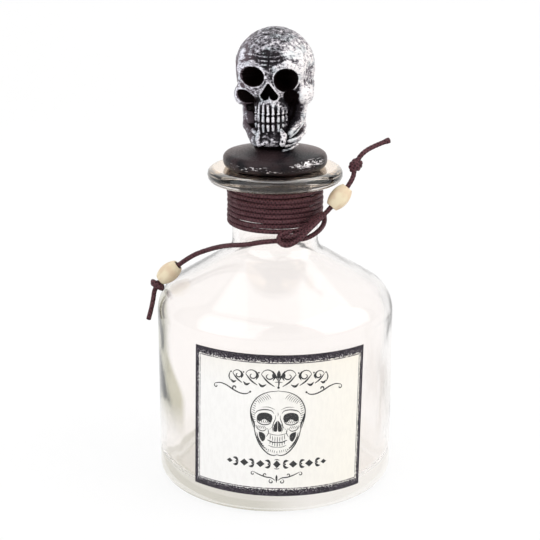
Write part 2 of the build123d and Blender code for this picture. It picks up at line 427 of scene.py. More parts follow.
class Finish:
    """A procedural material: a Principled shader and the nodes that feed it."""

    def __init__(self, name, **constants):
        self.material = bpy.data.materials.new(name)
        self.material.use_nodes = True
        self.tree = self.material.node_tree
        self.shader = self.tree.nodes["Principled BSDF"]
        for socket, value in constants.items():
            self.shader.inputs[socket.replace("_", " ")].default_value = value
        self.coordinates = self.tree.nodes.new("ShaderNodeTexCoord")

    def node(self, kind, inputs=None, **settings):
        """A node with its settings, whose inputs are values or other nodes' outputs."""
        made = self.tree.nodes.new("ShaderNode" + kind)
        for name, value in settings.items():
            setattr(made, name, value)
        for name, value in (inputs or {}).items():
            self.feed(made.inputs[name], value)
        return made

    def feed(self, socket, value):
        """Sets a socket to a value or links it to an output."""
        if isinstance(value, bpy.types.NodeSocket):
            self.tree.links.new(value, socket)
        else:
            socket.default_value = value

    def place(self, stretch=(1, 1, 1), turn=(0, 0, 0), pattern=False):
        """Object coordinates in millimetres, or the piece's own pattern places, stretched and turned."""
        source = self.coordinates.outputs["UV" if pattern else "Object"]
        size = 1 if pattern else 1 / MM
        scale = [share * size for share in stretch]
        turned = [radians(angle) for angle in turn]
        return self.node("Mapping", {"Vector": source, "Scale": scale, "Rotation": turned}).outputs["Vector"]

    def axes(self, pattern=False):
        """The three coordinates of a place, each by itself."""
        return self.node("SeparateXYZ", {0: self.place(pattern=pattern)}).outputs

    def noise(self, size, detail=3.0, rough=0.5, **place):
        """Noise of a size in millimetres, from 0 to 1, at stretched and turned places."""
        inputs = {"Vector": self.place(**place), "Scale": 1 / size, "Detail": detail, "Roughness": rough}
        return self.node("TexNoise", inputs).outputs["Fac"]

    def layer(self, name):
        """One of the piece's own vertex layers."""
        return self.node("Attribute", attribute_name=name).outputs["Fac"]

    def sum(self, one, two, kind="ADD"):
        """Two values put together by one operation."""
        return self.node("Math", {0: one, 1: two}, operation=kind).outputs[0]

    def times(self, first, *others):
        """The product of two or more values."""
        for other in others:
            first = self.sum(first, other, "MULTIPLY")
        return first

    def apart(self, one, two):
        """How far apart two values are."""
        return self.sum(self.sum(one, two, "SUBTRACT"), 0.0, "ABSOLUTE")

    def range(self, value, low, high, to_low=0.0, to_high=1.0):
        """A smooth step of a value from one range to another."""
        inputs = {"Value": value, "From Min": low, "From Max": high, "To Min": to_low, "To Max": to_high}
        return self.node("MapRange", inputs, interpolation_type="SMOOTHSTEP").outputs["Result"]

    def mix(self, share, one, two):
        """A colour between two colours."""
        made = self.node("Mix", data_type="RGBA")
        self.feed(made.inputs["Factor"], share)
        self.feed(made.inputs[6], (*one, 1) if isinstance(one, tuple) else one)
        self.feed(made.inputs[7], (*two, 1) if isinstance(two, tuple) else two)
        return made.outputs[2]

    def layered(self, colour, *coats):
        """A colour with others laid over it in turn, each by its own share."""
        for share, over in coats:
            colour = self.mix(share, colour, over)
        return colour

    def bump(self, height, depth, under=None):
        """A bump of a depth in millimetres."""
        made = self.node("Bump", {"Height": height, "Distance": depth * MM, "Strength": 1.0})
        if under is not None:
            self.feed(made.inputs["Normal"], under)
        return made.outputs["Normal"]

    def wear(self, **links):
        """Links outputs to the shader's sockets."""
        for socket, value in links.items():
            self.feed(self.shader.inputs[socket.replace("_", " ")], value)
        return self.material


def clear_glass():
    """Moulded clear glass with faint waves, warm in the middle, with painted reflections of the room down its
    sides: grey-green on the left, grey streaks on the right.
    """
    finish = Finish("clear_glass", Coat_IOR=2.6, Coat_Roughness=0.12, Coat_Tint=(1.0, 0.92, 0.82, 1))
    across, deep, up = finish.axes()
    at_front = finish.range(deep, 6.0, -6.0)
    edge_on = finish.range(finish.node("LayerWeight", {"Blend": 0.5}).outputs["Facing"], 0.14, 0.34)
    waves = finish.times(finish.noise(9.0, 1.0, stretch=(1, 1, 0.6)), finish.range(up, 88.0, 70.0))
    streaks = finish.noise(2.4, 2.0, stretch=(1, 1, 0.12))
    # painted reflections: a grey-green one along the left edge and grey streaks on the right, both only where
    # the glass is seen edge on
    edge = finish.range(up, 64.0, 42.0, -45.0, -37.5)
    left = finish.range(finish.sum(across, edge, "SUBTRACT"), 1.5, -1.5)
    left = finish.times(left, at_front, edge_on, finish.range(up, 22.0, 42.0), finish.range(up, 96.0, 76.0))
    right = finish.times(finish.range(across, 41.0, 43.5), finish.range(streaks, 0.35, 0.6))
    right = finish.times(right, finish.range(up, 18.0, 34.0), edge_on, finish.range(up, 62.0, 46.0))
    # the lip reflects like pewter along both its edges through its coat; its colour is a grey painted
    # reflection all over and, between the edges, a darker painted reflection of the cord and cork seen
    # through it
    on_lip = finish.range(up, lip_z - 0.8, lip_z + 0.2)
    lip_painted_dark_reflection = finish.times(
        finish.range(up, lip_z + 1.0, lip_z + 1.8),
        finish.range(up, mouth_z - 0.7, mouth_z - 1.3),
        finish.range(finish.sum(across, 0.0, "ABSOLUTE"), 22.0, 8.0, 0.3, 1.0),
        at_front,
    )
    upper_edge = finish.range(up, mouth_z - 1.1, mouth_z - 0.5)
    lower_edge = finish.times(on_lip, finish.range(up, lip_z + 1.8, lip_z + 1.0, 0.0, 0.5))
    # the thick base is hazy and cream, with a darker line along its lower left edge that is a painted dark
    # reflection
    base = finish.range(up, 16.0, 7.0)
    base_painted_dark_edge = finish.times(finish.range(up, 2.6, 1.4), finish.range(across, 16.0, -10.0, 0.2, 1.0))
    tint = finish.layered(
        (0.996, 0.975, 0.962),
        (finish.noise(30.0, 1.0), (0.994, 0.967, 0.953)),
        (left, (0.43, 0.41, 0.285)),
        (right, (0.76, 0.72, 0.68)),
        (on_lip, (0.92, 0.885, 0.86)),
        (lip_painted_dark_reflection, (0.3, 0.26, 0.24)),
        (base, (0.985, 0.955, 0.92)),
        (base_painted_dark_edge, (0.52, 0.5, 0.42)),
    )
    bending = finish.range(up, 20.0, 9.0, 1.5, 1.14)
    return finish.wear(
        Base_Color=tint,
        Coat_Weight=finish.sum(upper_edge, lower_edge, "MAXIMUM"),
        Transmission_Weight=finish.range(up, 16.0, 7.0, 1.0, 0.95),
        Roughness=finish.range(up, 18.0, 6.0, glass_rough, 0.12),
        IOR=finish.sum(bending, finish.range(up, 3.2, 2.2, 0.0, 0.1), "SUBTRACT"),
        Specular_IOR_Level=finish.range(lip_painted_dark_reflection, 0.0, 1.0, 0.5, 0.12),
        Normal=finish.bump(waves, 0.08),
    )


def label_paper():
    """White paper with a dark frame, rubbed in places, and a thin line, both broken by the grain, and a warm
    painted tint of the light from the right.
    """
    finish = Finish("label_paper", Roughness=0.62, Specular_IOR_Level=0.35)
    across, up, _ = finish.axes(pattern=True)
    grain = finish.noise(0.55, 4.0, 0.65)
    blots = finish.noise(1.7, 3.0, 0.6)
    fibres = finish.noise(1.2, 4.0, 0.6, stretch=(1, 1, 0.3))
    width = 2 * label_r * radians(label_half_angle)
    from_side = finish.times(finish.sum(0.5, finish.apart(across, 0.5), "SUBTRACT"), width, frame_side)
    from_top = finish.times(finish.sum(0.5, finish.apart(up, 0.5), "SUBTRACT"), label_h)
    depth = finish.sum(from_side, finish.times(from_top, frame_top), "MINIMUM")
    line_depth = finish.sum(from_side, finish.sum(from_top, frame_gap, "SUBTRACT"), "MINIMUM")
    ragged = finish.sum(depth, finish.range(grain, 0.2, 0.8, -0.35, 0.35))
    band = finish.range(ragged, frame_band - 0.15, frame_band + 0.15, 1.0, 0.0)
    off_line = finish.apart(line_depth, frame_band + frame_gap + frame_line / 2)
    line = finish.range(off_line, frame_line * 0.35, frame_line * 0.65, 1.0, 0.0)
    line = finish.times(line, finish.range(blots, 0.3, 0.5, 0.35, 1.0))
    specks = finish.times(finish.range(grain, 0.53, 0.63), finish.range(depth, 0.6, frame_band, 0.12, 0.9))
    band_colour = finish.layered(
        (0.01, 0.007, 0.013),
        (finish.range(blots, 0.35, 0.7), (0.036, 0.026, 0.04)),
        (specks, (0.72, 0.68, 0.7)),
    )
    colour = finish.layered(
        (0.895, 0.88, 0.86),
        # towards the right a warm painted tint of the light that falls from the right; towards the top the
        # paper turns darker and yellower
        (finish.range(across, 0.2, 1.0), (0.86, 0.83, 0.765)),
        (finish.range(up, 0.7, 1.0, 0.0, 0.3), (0.82, 0.745, 0.64)),
        (finish.range(fibres, 0.4, 0.62, 0.0, 0.1), (0.62, 0.6, 0.58)),
        (line, (0.06, 0.05, 0.065)),
        (band, band_colour),
        (finish.range(finish.layer("back"), 0.4, 0.6), (0.88, 0.86, 0.8)),
    )
    return finish.wear(Base_Color=colour, Normal=finish.bump(fibres, 0.02))


def label_ink():
    """Charcoal printing ink, slightly uneven."""
    finish = Finish("label_ink", Roughness=0.5)
    blots = finish.noise(0.6, 3.0, 0.6)
    colour = finish.mix(finish.range(blots, 0.5, 0.75), (0.018, 0.018, 0.02), (0.1, 0.096, 0.094))
    return finish.wear(Base_Color=colour, Normal=finish.bump(blots, 0.01))


def skull_casting():
    """Black casting with silver paint dry-brushed over what stands proud; the silver carries a painted tint
    and highlight of the lamps, and the hollows a painted shade.
    """
    finish = Finish("skull_casting")
    silver_and_painted_light = finish.layer("silver_and_painted_light")
    fine = finish.noise(0.5, 4.0, 0.65)
    streaks = finish.noise(0.7, 4.0, 0.6, stretch=(0.35, 0.6, 1.4), turn=(0, 28, 0))
    blots = finish.noise(1.5, 3.0, 0.6)
    pits = finish.noise(0.8, 2.0)
    across, _, up = finish.axes()
    mottle = finish.sum(finish.range(streaks, 0.3, 0.7, -0.2, 0.2), finish.range(blots, 0.3, 0.7, -0.2, 0.2))
    mottle = finish.times(mottle, finish.range(up, 180.0, 185.0, 1.0, 0.6))
    cover = finish.sum(finish.sum(silver_and_painted_light, finish.range(fine, 0.3, 0.7, -0.16, 0.16)), mottle)
    # the silver is painted bluer and dimmer on the left and warmer and whiter on the right, a painted tint of
    # the cool left and warm right lamps
    bright = finish.mix(finish.range(across, -14.0, 12.0), (0.84, 0.83, 0.9), (0.94, 0.9, 0.9))
    paint = finish.layered(
        (0.3, 0.28, 0.315),
        (finish.range(cover, 0.5, 0.95), bright),
        (finish.range(finish.noise(5.0, 1.0), 0.5, 0.66, 0.0, 0.4), (0.42, 0.5, 0.53)),
    )
    base = finish.layered(
        (0.005, 0.004, 0.006),
        (finish.range(pits, 0.45, 0.65), (0.02, 0.015, 0.02)),
        (finish.range(across, -6.5, -12.0, 0.0, 0.85), (0.125, 0.092, 0.108)),
        (finish.range(across, 8.0, 13.0, 0.0, 0.6), (0.1, 0.072, 0.082)),
    )
    # deep in the hollows the casting is painted near black, a painted shade
    base = finish.mix(finish.range(silver_and_painted_light, -0.7, -0.3), (0.004, 0.002, 0.002), base)
    return finish.wear(
        Base_Color=finish.mix(finish.range(cover, 0.28, 0.7), base, paint),
        Metallic=finish.range(cover, 0.35, 0.9, 0.0, 0.45),
        Roughness=finish.range(fine, 0.3, 0.7, 0.32, 0.55),
        Specular_IOR_Level=finish.range(silver_and_painted_light, -0.7, 0.2, 0.02, 0.16),
        Normal=finish.bump(pits, 0.18, finish.bump(fine, 0.12)),
    )


def disc_casting():
    """Plum-black semi-gloss casting with silver scraped on its rim, a dotted painted highlight along its low
    edge and a brown painted sheen towards its back.
    """
    finish = Finish("disc_casting", Specular_IOR_Level=0.15)
    wear_and_highlight = finish.layer("wear_and_highlight")
    streaks = finish.noise(1.6, 5.0, 0.68, stretch=(0.8, 0.8, 2.2))
    scratches = finish.noise(1.5, 2.0, stretch=(0.16, 0.16, 3.2), turn=(0, 38, 0))
    fine = finish.noise(0.7, 3.0, 0.6)
    clouds = finish.noise(8.0, 2.0)
    _, deep, _ = finish.axes()
    cover = finish.times(finish.range(streaks, 0.35, 0.7), wear_and_highlight)
    scratches = finish.times(finish.range(scratches, 0.63, 0.66), finish.range(wear_and_highlight, 0.2, 0.5))
    silver = finish.sum(finish.range(cover, 0.42, 0.52), scratches, "MAXIMUM")
    colour = finish.layered(
        (0.006, 0.005, 0.007),
        (finish.range(clouds, 0.35, 0.65), (0.034, 0.022, 0.024)),
        # browner towards the back, a painted sheen on the rim's sides and back
        (finish.range(deep, -12.0, 6.0, 0.0, 0.8), (0.11, 0.056, 0.048)),
        (silver, (0.86, 0.82, 0.84)),
    )
    return finish.wear(
        Base_Color=colour,
        Metallic=finish.range(cover, 0.42, 0.6, 0.0, 0.5),
        Roughness=finish.range(fine, 0.3, 0.7, 0.24, 0.4),
        Normal=finish.bump(silver, 0.1, finish.bump(fine, 0.06)),
    )


def cork():
    """Cork painted dark, a painted shade for the shade it lies in inside the neck, with darker pores and
    paler grain.
    """
    finish = Finish("cork", Roughness=0.85, Specular_IOR_Level=0.2)
    grain = finish.noise(1.4, 5.0, 0.65, stretch=(1, 1, 0.7))
    inputs = {"Vector": finish.place((1, 1, 0.7)), "Scale": 1 / pore_spacing, "Randomness": 1.0}
    cells = finish.node("TexVoronoi", inputs)
    pores = finish.range(cells.outputs["Distance"], 0.1, 0.3, 1.0, 0.0)
    pores = finish.times(pores, finish.range(grain, 0.48, 0.6))
    colour = finish.mix(finish.range(grain, 0.35, 0.68), (0.045, 0.034, 0.026), (0.12, 0.092, 0.068))
    colour = finish.mix(pores, colour, (0.015, 0.01, 0.008))
    return finish.wear(Base_Color=colour, Normal=finish.bump(pores, -0.3, finish.bump(grain, 0.1)))


def waxed_cord():
    """Dark burgundy plaited cord with a waxy sheen in places; its plait's tops and fibre specks are painted
    lighter as a painted highlight, and its grooves darker as a painted shade.
    """
    finish = Finish("waxed_cord", Specular_IOR_Level=0.22)
    strands = []
    for turn in (1, -1):
        stretch = (turn * 2 * pi * plait_strands / 10, 2 * pi * cord_d / plait_pitch / 10, 1)
        inputs = {"Vector": finish.place(stretch, pattern=True), "Scale": 1.0, "Phase Offset": pi}
        strands.append(finish.node("TexWave", inputs, bands_direction="DIAGONAL").outputs["Fac"])
    plait = finish.sum(*strands, "MAXIMUM")
    fibres = finish.noise(0.45, 3.0, 0.7)
    wax = finish.noise(3.2, 3.0, 0.6)
    # near-black grooves are painted shade; lighter plait tops and fibre specks are painted highlight
    colour = finish.layered(
        (0.016, 0.004, 0.006),
        (finish.range(plait, 0.3, 0.95), (0.088, 0.03, 0.037)),
        (finish.range(fibres, 0.5, 0.72, 0.0, 0.7), (0.21, 0.105, 0.118)),
        (finish.range(wax, 0.5, 0.7, 0.0, 0.4), (0.14, 0.058, 0.068)),
    )
    return finish.wear(
        Base_Color=colour,
        Roughness=finish.range(wax, 0.42, 0.62, 0.66, 0.42),
        Normal=finish.bump(fibres, 0.12, finish.bump(plait, 0.1)),
    )


def bead_wood():
    """Pale turned wood with fine grain along the bead, and a painted shade that darkens its hole."""
    sheen = {"Specular_IOR_Level": 0.45, "Coat_Weight": 0.12, "Coat_Roughness": 0.3}
    finish = Finish("bead_wood", Roughness=0.42, **sheen)
    grain = finish.noise(1.0, 4.0, 0.6, stretch=(14, 1.2, 1), pattern=True)
    rings = finish.noise(1.0, 1.0, stretch=(4, 0.5, 1), pattern=True)
    colour = finish.layered(
        (0.79, 0.68, 0.48),
        (finish.range(finish.noise(3.5, 2.0), 0.35, 0.65), (0.72, 0.565, 0.39)),
        (finish.range(grain, 0.5, 0.72, 0.0, 0.5), (0.62, 0.44, 0.24)),
        (finish.range(rings, 0.55, 0.75, 0.0, 0.3), (0.72, 0.5, 0.3)),
        # painted shade inside the hole
        (finish.layer("painted_bore_shade"), (0.07, 0.035, 0.02)),
    )
    return finish.wear(Base_Color=colour, Normal=finish.bump(grain, 0.04))


# Label's printed frame: the worn band, the gap and the thin line inside it
frame_band = 2.2
frame_gap = 0.5
frame_line = 0.4
frame_side = 1.22
frame_top = 0.74

glass_rough = 0.07
pore_spacing = 2.2
glass_finish = clear_glass()
paper_finish = label_paper()
ink_finish = label_ink()
skull_finish = skull_casting()
disc_finish = disc_casting()
cork_finish = cork()
cord_finish = waxed_cord()
bead_finish = bead_wood()


# Glass


def shoulder_line(radius, inset):
    """Height of the sloped shoulder at a radius, or of a line parallel to it and inset by a wall."""
    return shoulder_z + (body_r - radius) * tan(shoulder_slope) - inset / cos(shoulder_slope)


def bottle_parts():
    """The glass wall turned about Z: outside from foot to lip, then inside down to the base.

    The inside moves in and out by smooth noise, as moulded glass does, and the outside far less.
    """
    outside = rounded_outline(
        [
            (0, foot_rise, 0),
            (foot_r - foot_w, foot_rise, foot_rise),
            (foot_r - foot_w / 2, 0, foot_rise / 2),
            (body_r, 0, base_edge_r),
            (body_r, shoulder_z, shoulder_r),
            (neck_r, shoulder_line(neck_r, 0), neck_root_r),
            (neck_r, lip_z, lip_root_r),
            (lip_r, lip_z, lip_edge_r),
            (lip_r, mouth_z, lip_edge_r),
            (bore_r, mouth_z, mouth_edge_r),
            (bore_r, shoulder_line(bore_r, wall), 0),
        ],
        2.0,
        12,
    )[1:-1]
    inside = rounded_outline(
        [
            (bore_r, mouth_z - mouth_edge_r, 0),
            (bore_r, shoulder_line(bore_r, wall), neck_root_r + wall),
            (inner_r, shoulder_line(inner_r, wall), shoulder_r - wall),
            (inner_r, base_t, inside_edge_r),
            (0, base_t + foot_rise, 0),
        ],
        2.0,
        14,
    )[1:-1]
    from_edge = np.hypot(outside[:, 0] - bore_r, outside[:, 1] - mouth_z + mouth_edge_r)
    outside = outside[: np.argmin(from_edge) + 1]
    outline = np.vstack([outside, inside])
    grid = turned_grid(outline, 192)
    is_inside = np.arange(len(outline)) >= len(outside)
    below_neck = smooth_step(outline[:, 1], 100, 86)
    calm_base = smooth_step(outline[:, 0], 8, 30) * smooth_step(outline[:, 1], 8, 26)
    amount = np.where(is_inside, inner_unevenness, outer_unevenness) * below_neck * calm_base
    wave = soft_noise(grid, 22.0, 11) + 0.4 * soft_noise(grid, 9.0, 12)
    shift = 1 + amount[:, None] * wave / np.maximum(outline[:, :1], 20)
    grid[..., :2] *= shift[..., None]
    return closed_grid(grid, [(0, 0, foot_rise), (0, 0, base_t + foot_rise)])


add_piece("bottle_shell", "bottle", glass_finish, bottle_parts(), ["glass_bottle"], sharp=80)


# Label


def on_label(along, up, radius):
    """Places on the glass from lengths round it and heights, both from the label's middle."""
    along, up = np.asarray(along, float), np.asarray(up, float)
    flat = radius * np.sin(along / label_r)
    lean = radians(label_tilt)
    x = flat * cos(lean) + up * sin(lean)
    z = -flat * sin(lean) + up * cos(lean) + label_mid_z
    y = -np.sqrt(radius**2 - x**2)
    turn = radians(label_turn)
    return np.stack([x * cos(turn) - y * sin(turn), x * sin(turn) + y * cos(turn), z], -1)


def label_parts():
    """A bent sheet: a grid over its front and its back, joined at the four edges as one ring of rows."""
    columns, rows = 72, 40
    half_w = label_r * radians(label_half_angle)
    across = np.linspace(-half_w, half_w, columns)
    up = np.linspace(-label_h / 2, label_h / 2, rows)
    along, height = np.meshgrid(across, up)
    front = on_label(along, height, label_r + label_t)
    back = on_label(along, height, label_r)
    quads, corner_row, corner_column = grid_faces(rows, columns)
    places = np.stack([corner_column / (columns - 1), corner_row / (rows - 1)], -1)
    count = rows * columns
    index = np.arange(count).reshape(rows, columns)
    edge = np.concatenate([index[0, :-1], index[:-1, -1], index[-1, :0:-1], index[:0:-1, 0]])
    after = np.roll(edge, -1)
    rim = np.stack([edge, edge + count, after + count, after], -1)
    points = np.vstack([front.reshape(-1, 3), back.reshape(-1, 3)])
    faces = quads.tolist() + (quads[:, ::-1] + count).tolist() + rim.tolist()
    edge_places = np.stack([edge % columns / (columns - 1), edge // columns / (rows - 1)], -1)
    after_places = np.stack([after % columns / (columns - 1), after // columns / (rows - 1)], -1)
    rim_places = np.stack([edge_places, edge_places, after_places, after_places], 1)
    places = np.vstack([places.reshape(-1, 2), places[:, ::-1].reshape(-1, 2), rim_places.reshape(-1, 2)])
    return points, faces, places


label_mesh = label_parts()
back_layer = {"back": np.repeat([0.0, 1.0], len(label_mesh[0]) // 2)}
add_piece("label_sheet", "bottle", paper_finish, label_mesh, ["front_label"], back_layer)


def smooth_path(points, steps=10):
    """Catmull-Rom curve through points on the label: cubic blends of four neighbours."""
    p = np.asarray(points, float)
    p = np.vstack([2 * p[0] - p[1], p, 2 * p[-1] - p[-2]])
    t = np.linspace(0, 1, steps, endpoint=False)[:, None]
    spans = []
    for a, b, c, d in zip(p[:-3], p[1:-2], p[2:-1], p[3:]):
        cubic = 2 * b + (c - a) * t + (2 * a - 5 * b + 4 * c - d) * t**2 + (3 * b - a - 3 * c + d) * t**3
        spans.append(cubic / 2)
    return np.vstack(spans + [p[-2:-1]])


def spiral(middle, start_r, end_r, start, sweep, steps=18):
    """Points on a spiral about a middle: radius and angle both change evenly."""
    share = np.linspace(0, 1, steps)
    radius = start_r + (end_r - start_r) * share
    angle = np.radians(start + sweep * share)
    return np.stack([middle[0] + radius * np.cos(angle), middle[1] + radius * np.sin(angle)], -1)


strokes = []


def stroke(path, thick, ends=0.35):
    """One pen stroke: a ribbon along a path that is widest in its middle and thin at its ends."""
    path = np.asarray(path, float)
    ways = np.gradient(path, axis=0)
    ways /= np.maximum(np.linalg.norm(ways, axis=1), 1e-9)[:, None]
    normal = np.stack([-ways[:, 1], ways[:, 0]], -1)
    share = np.linspace(0, 1, len(path))
    width = thick * (ends + (1 - ends) * np.sin(pi * share)) / 2
    strokes.append((path + normal * width[:, None], path - normal * width[:, None]))


def filled(outline):
    """A filled shape: its outline and its middle, as a closed ribbon."""
    outline = np.asarray(outline, float)
    middle = outline.mean(0)
    ring = np.vstack([outline, outline[:1]])
    strokes.append((ring, middle + (ring - middle) * 0.02))


def mirrored(draw):
    """Draws something on the right of the ornaments' middle line and its mirror image on the left."""
    first = len(strokes)
    draw()
    flip = np.array([-1, 1])
    move = np.array([2 * ornament_middle, 0])
    for left, right in strokes[first:]:
        strokes.append((right * flip + move, left * flip + move))


def print_parts():
    """Every stroke as a thin closed ribbon on the paper: four rows round its section."""
    parts = []
    low, high = label_r + label_t - ink_lift, label_r + label_t + print_t
    for left, right in strokes:
        section = ((left, low), (left, high), (right, high), (right, low))
        grid = np.stack([on_label(*edge.T, radius) for edge, radius in section], 1)
        part = closed_grid(grid, [grid[0].mean(0), grid[-1].mean(0)])
        if enclosed(part[0], part[1]) < 0:
            part = (part[0], [face[::-1] for face in part[1]], part[2])
        parts.append(part)
    return joined(parts)


ornament_middle = -0.8
frieze_up = 20.3
low_row_up = -16.3


def pen(points, thick, ends=0.35, steps=10):
    """A pen stroke along a smooth path. Places across count from the ornaments' middle line."""
    stroke(smooth_path([(ornament_middle + across, up) for across, up in points], steps), thick, ends)


def curl(across, up, start_r, end_r, start, sweep, thick, steps=16, ends=0.4):
    """A pen stroke along a spiral."""
    stroke(spiral((ornament_middle + across, up), start_r, end_r, start, sweep, steps), thick, ends)


def dot(across, up, size):
    """A round dot."""
    filled(spiral((ornament_middle + across, up), size, size, 0, 330, 10))


def lozenge(across, up, half_w, half_h, far_half_w):
    """A filled lozenge, whose far side may be wider than its near one."""
    x = ornament_middle + across
    filled([(x - half_w, up), (x, up + half_h), (x + far_half_w, up), (x, up - half_h)])


def frieze_half():
    """Right half of the upper ornament: three leafy scrolls that grow smaller, with buds between."""
    for reach, size in ((1.6, 3.1), (8.4, 2.8), (14.6, 2.3)):

        def grown(points):
            """Points at this flourish's own size, from its own place on the frieze."""
            return [(reach + size * across, frieze_up + size * up) for across, up in points]

        pen(grown([(0, -1), (0.9, -0.35), (1.7, 0.6)]), 0.62)
        curl(*grown([(0.75, 0.45)])[0], size * 0.95, size * 0.16, 10, 420, 0.5, 26)
        pen(grown([(0.2, -0.2), (-0.05, 0.45), (0.25, 1.15)]), 0.85, 0.12)
        pen(grown([(1.05, -0.75), (1.6, -1), (2.05, -0.6)]), 0.95, 0.12)
        dot(*grown([(2.02, 0.82)])[0], 0.34)
    pen([(19.4, 18.3), (20.1, 20.1), (19.6, 22.1)], 0.5)


def frieze_middle():
    """Middle of the upper ornament: a three-petalled flower on a short stem."""
    pen([(0, 16.7), (0.12, 18.9), (0, 20.5)], 0.6)
    pen([(0, 20.4), (0.02, 22.2), (0, 24.1)], 1.5, 0.06)
    pen([(-1.5, 19.0), (0, 19.2), (1.5, 19.0)], 0.4, steps=1)
    dot(0, 16.8, 0.5)


def frieze_petal():
    """One side petal of that flower, curled outwards."""
    pen([(0.3, 19.7), (1.0, 21.3), (2.2, 22.2), (2.5, 21.3)], 0.9, 0.15)


def side_flourish():
    """Right flourish under the upper ornament: one long wave with a curl at each end."""
    pen([(11.4, 14.3), (12.8, 13.5), (15.2, 13.5), (18, 14.5), (21, 16), (23.8, 16.6), (26.2, 16)], 0.55, 0.5)
    curl(25.8, 15.1, 0.95, 0.3, 75, -300, 0.45)
    curl(17.6, 15.5, 1.15, 0.25, -100, 330, 0.6, ends=0.3)
    dot(11.2, 14.5, 0.42)


def low_row():
    """Right half of the lower ornament: lozenges between pairs of small leaves."""
    for reach in (0.0, 6.6, 13.2):
        if reach:
            lozenge(reach, low_row_up, 1.7, 1.55, 1.7)
        for turn in (-1, 1):
            leaf = [(2.5, 0), (3.4, 1.35), (4.7, 1.5)]
            pen([(reach + across, low_row_up + turn * up) for across, up in leaf], 1.05, 0.12)
        dot(reach + 3.3, low_row_up, 0.42)
    lozenge(19.3, low_row_up, 1.2, 1.0, 1.3)


def low_row_middle():
    """Middle of the lower ornament: one large lozenge with a ring round it."""
    lozenge(0, low_row_up, 1.5, 1.75, 1.5)
    for start in (60, 240):
        curl(0, low_row_up, 2.05, 2.05, start, 60, 0.35, 8, 0.35)


def foot_flourish():
    """Right half of the bottom flourish: a wave and three curls."""
    pen([(0.5, -23.4), (2.2, -22.3), (4.4, -22.0), (7.2, -21.0), (9.4, -19.9)], 0.5, 0.4)
    curl(9.6, -20.75, 0.85, 0.25, 95, -300, 0.42)
    curl(4.6, -21.1, 0.9, 0.25, -100, 300, 0.42, 14)
    curl(2.1, -23.9, 1.0, 0.25, 70, -330, 0.45)


def foot_drop():
    """Middle of the bottom flourish: an upright drop."""
    pen([(0, -20.9), (0, -21.8), (0, -22.9), (0, -24.4)], 0.9, 0.1, 1)


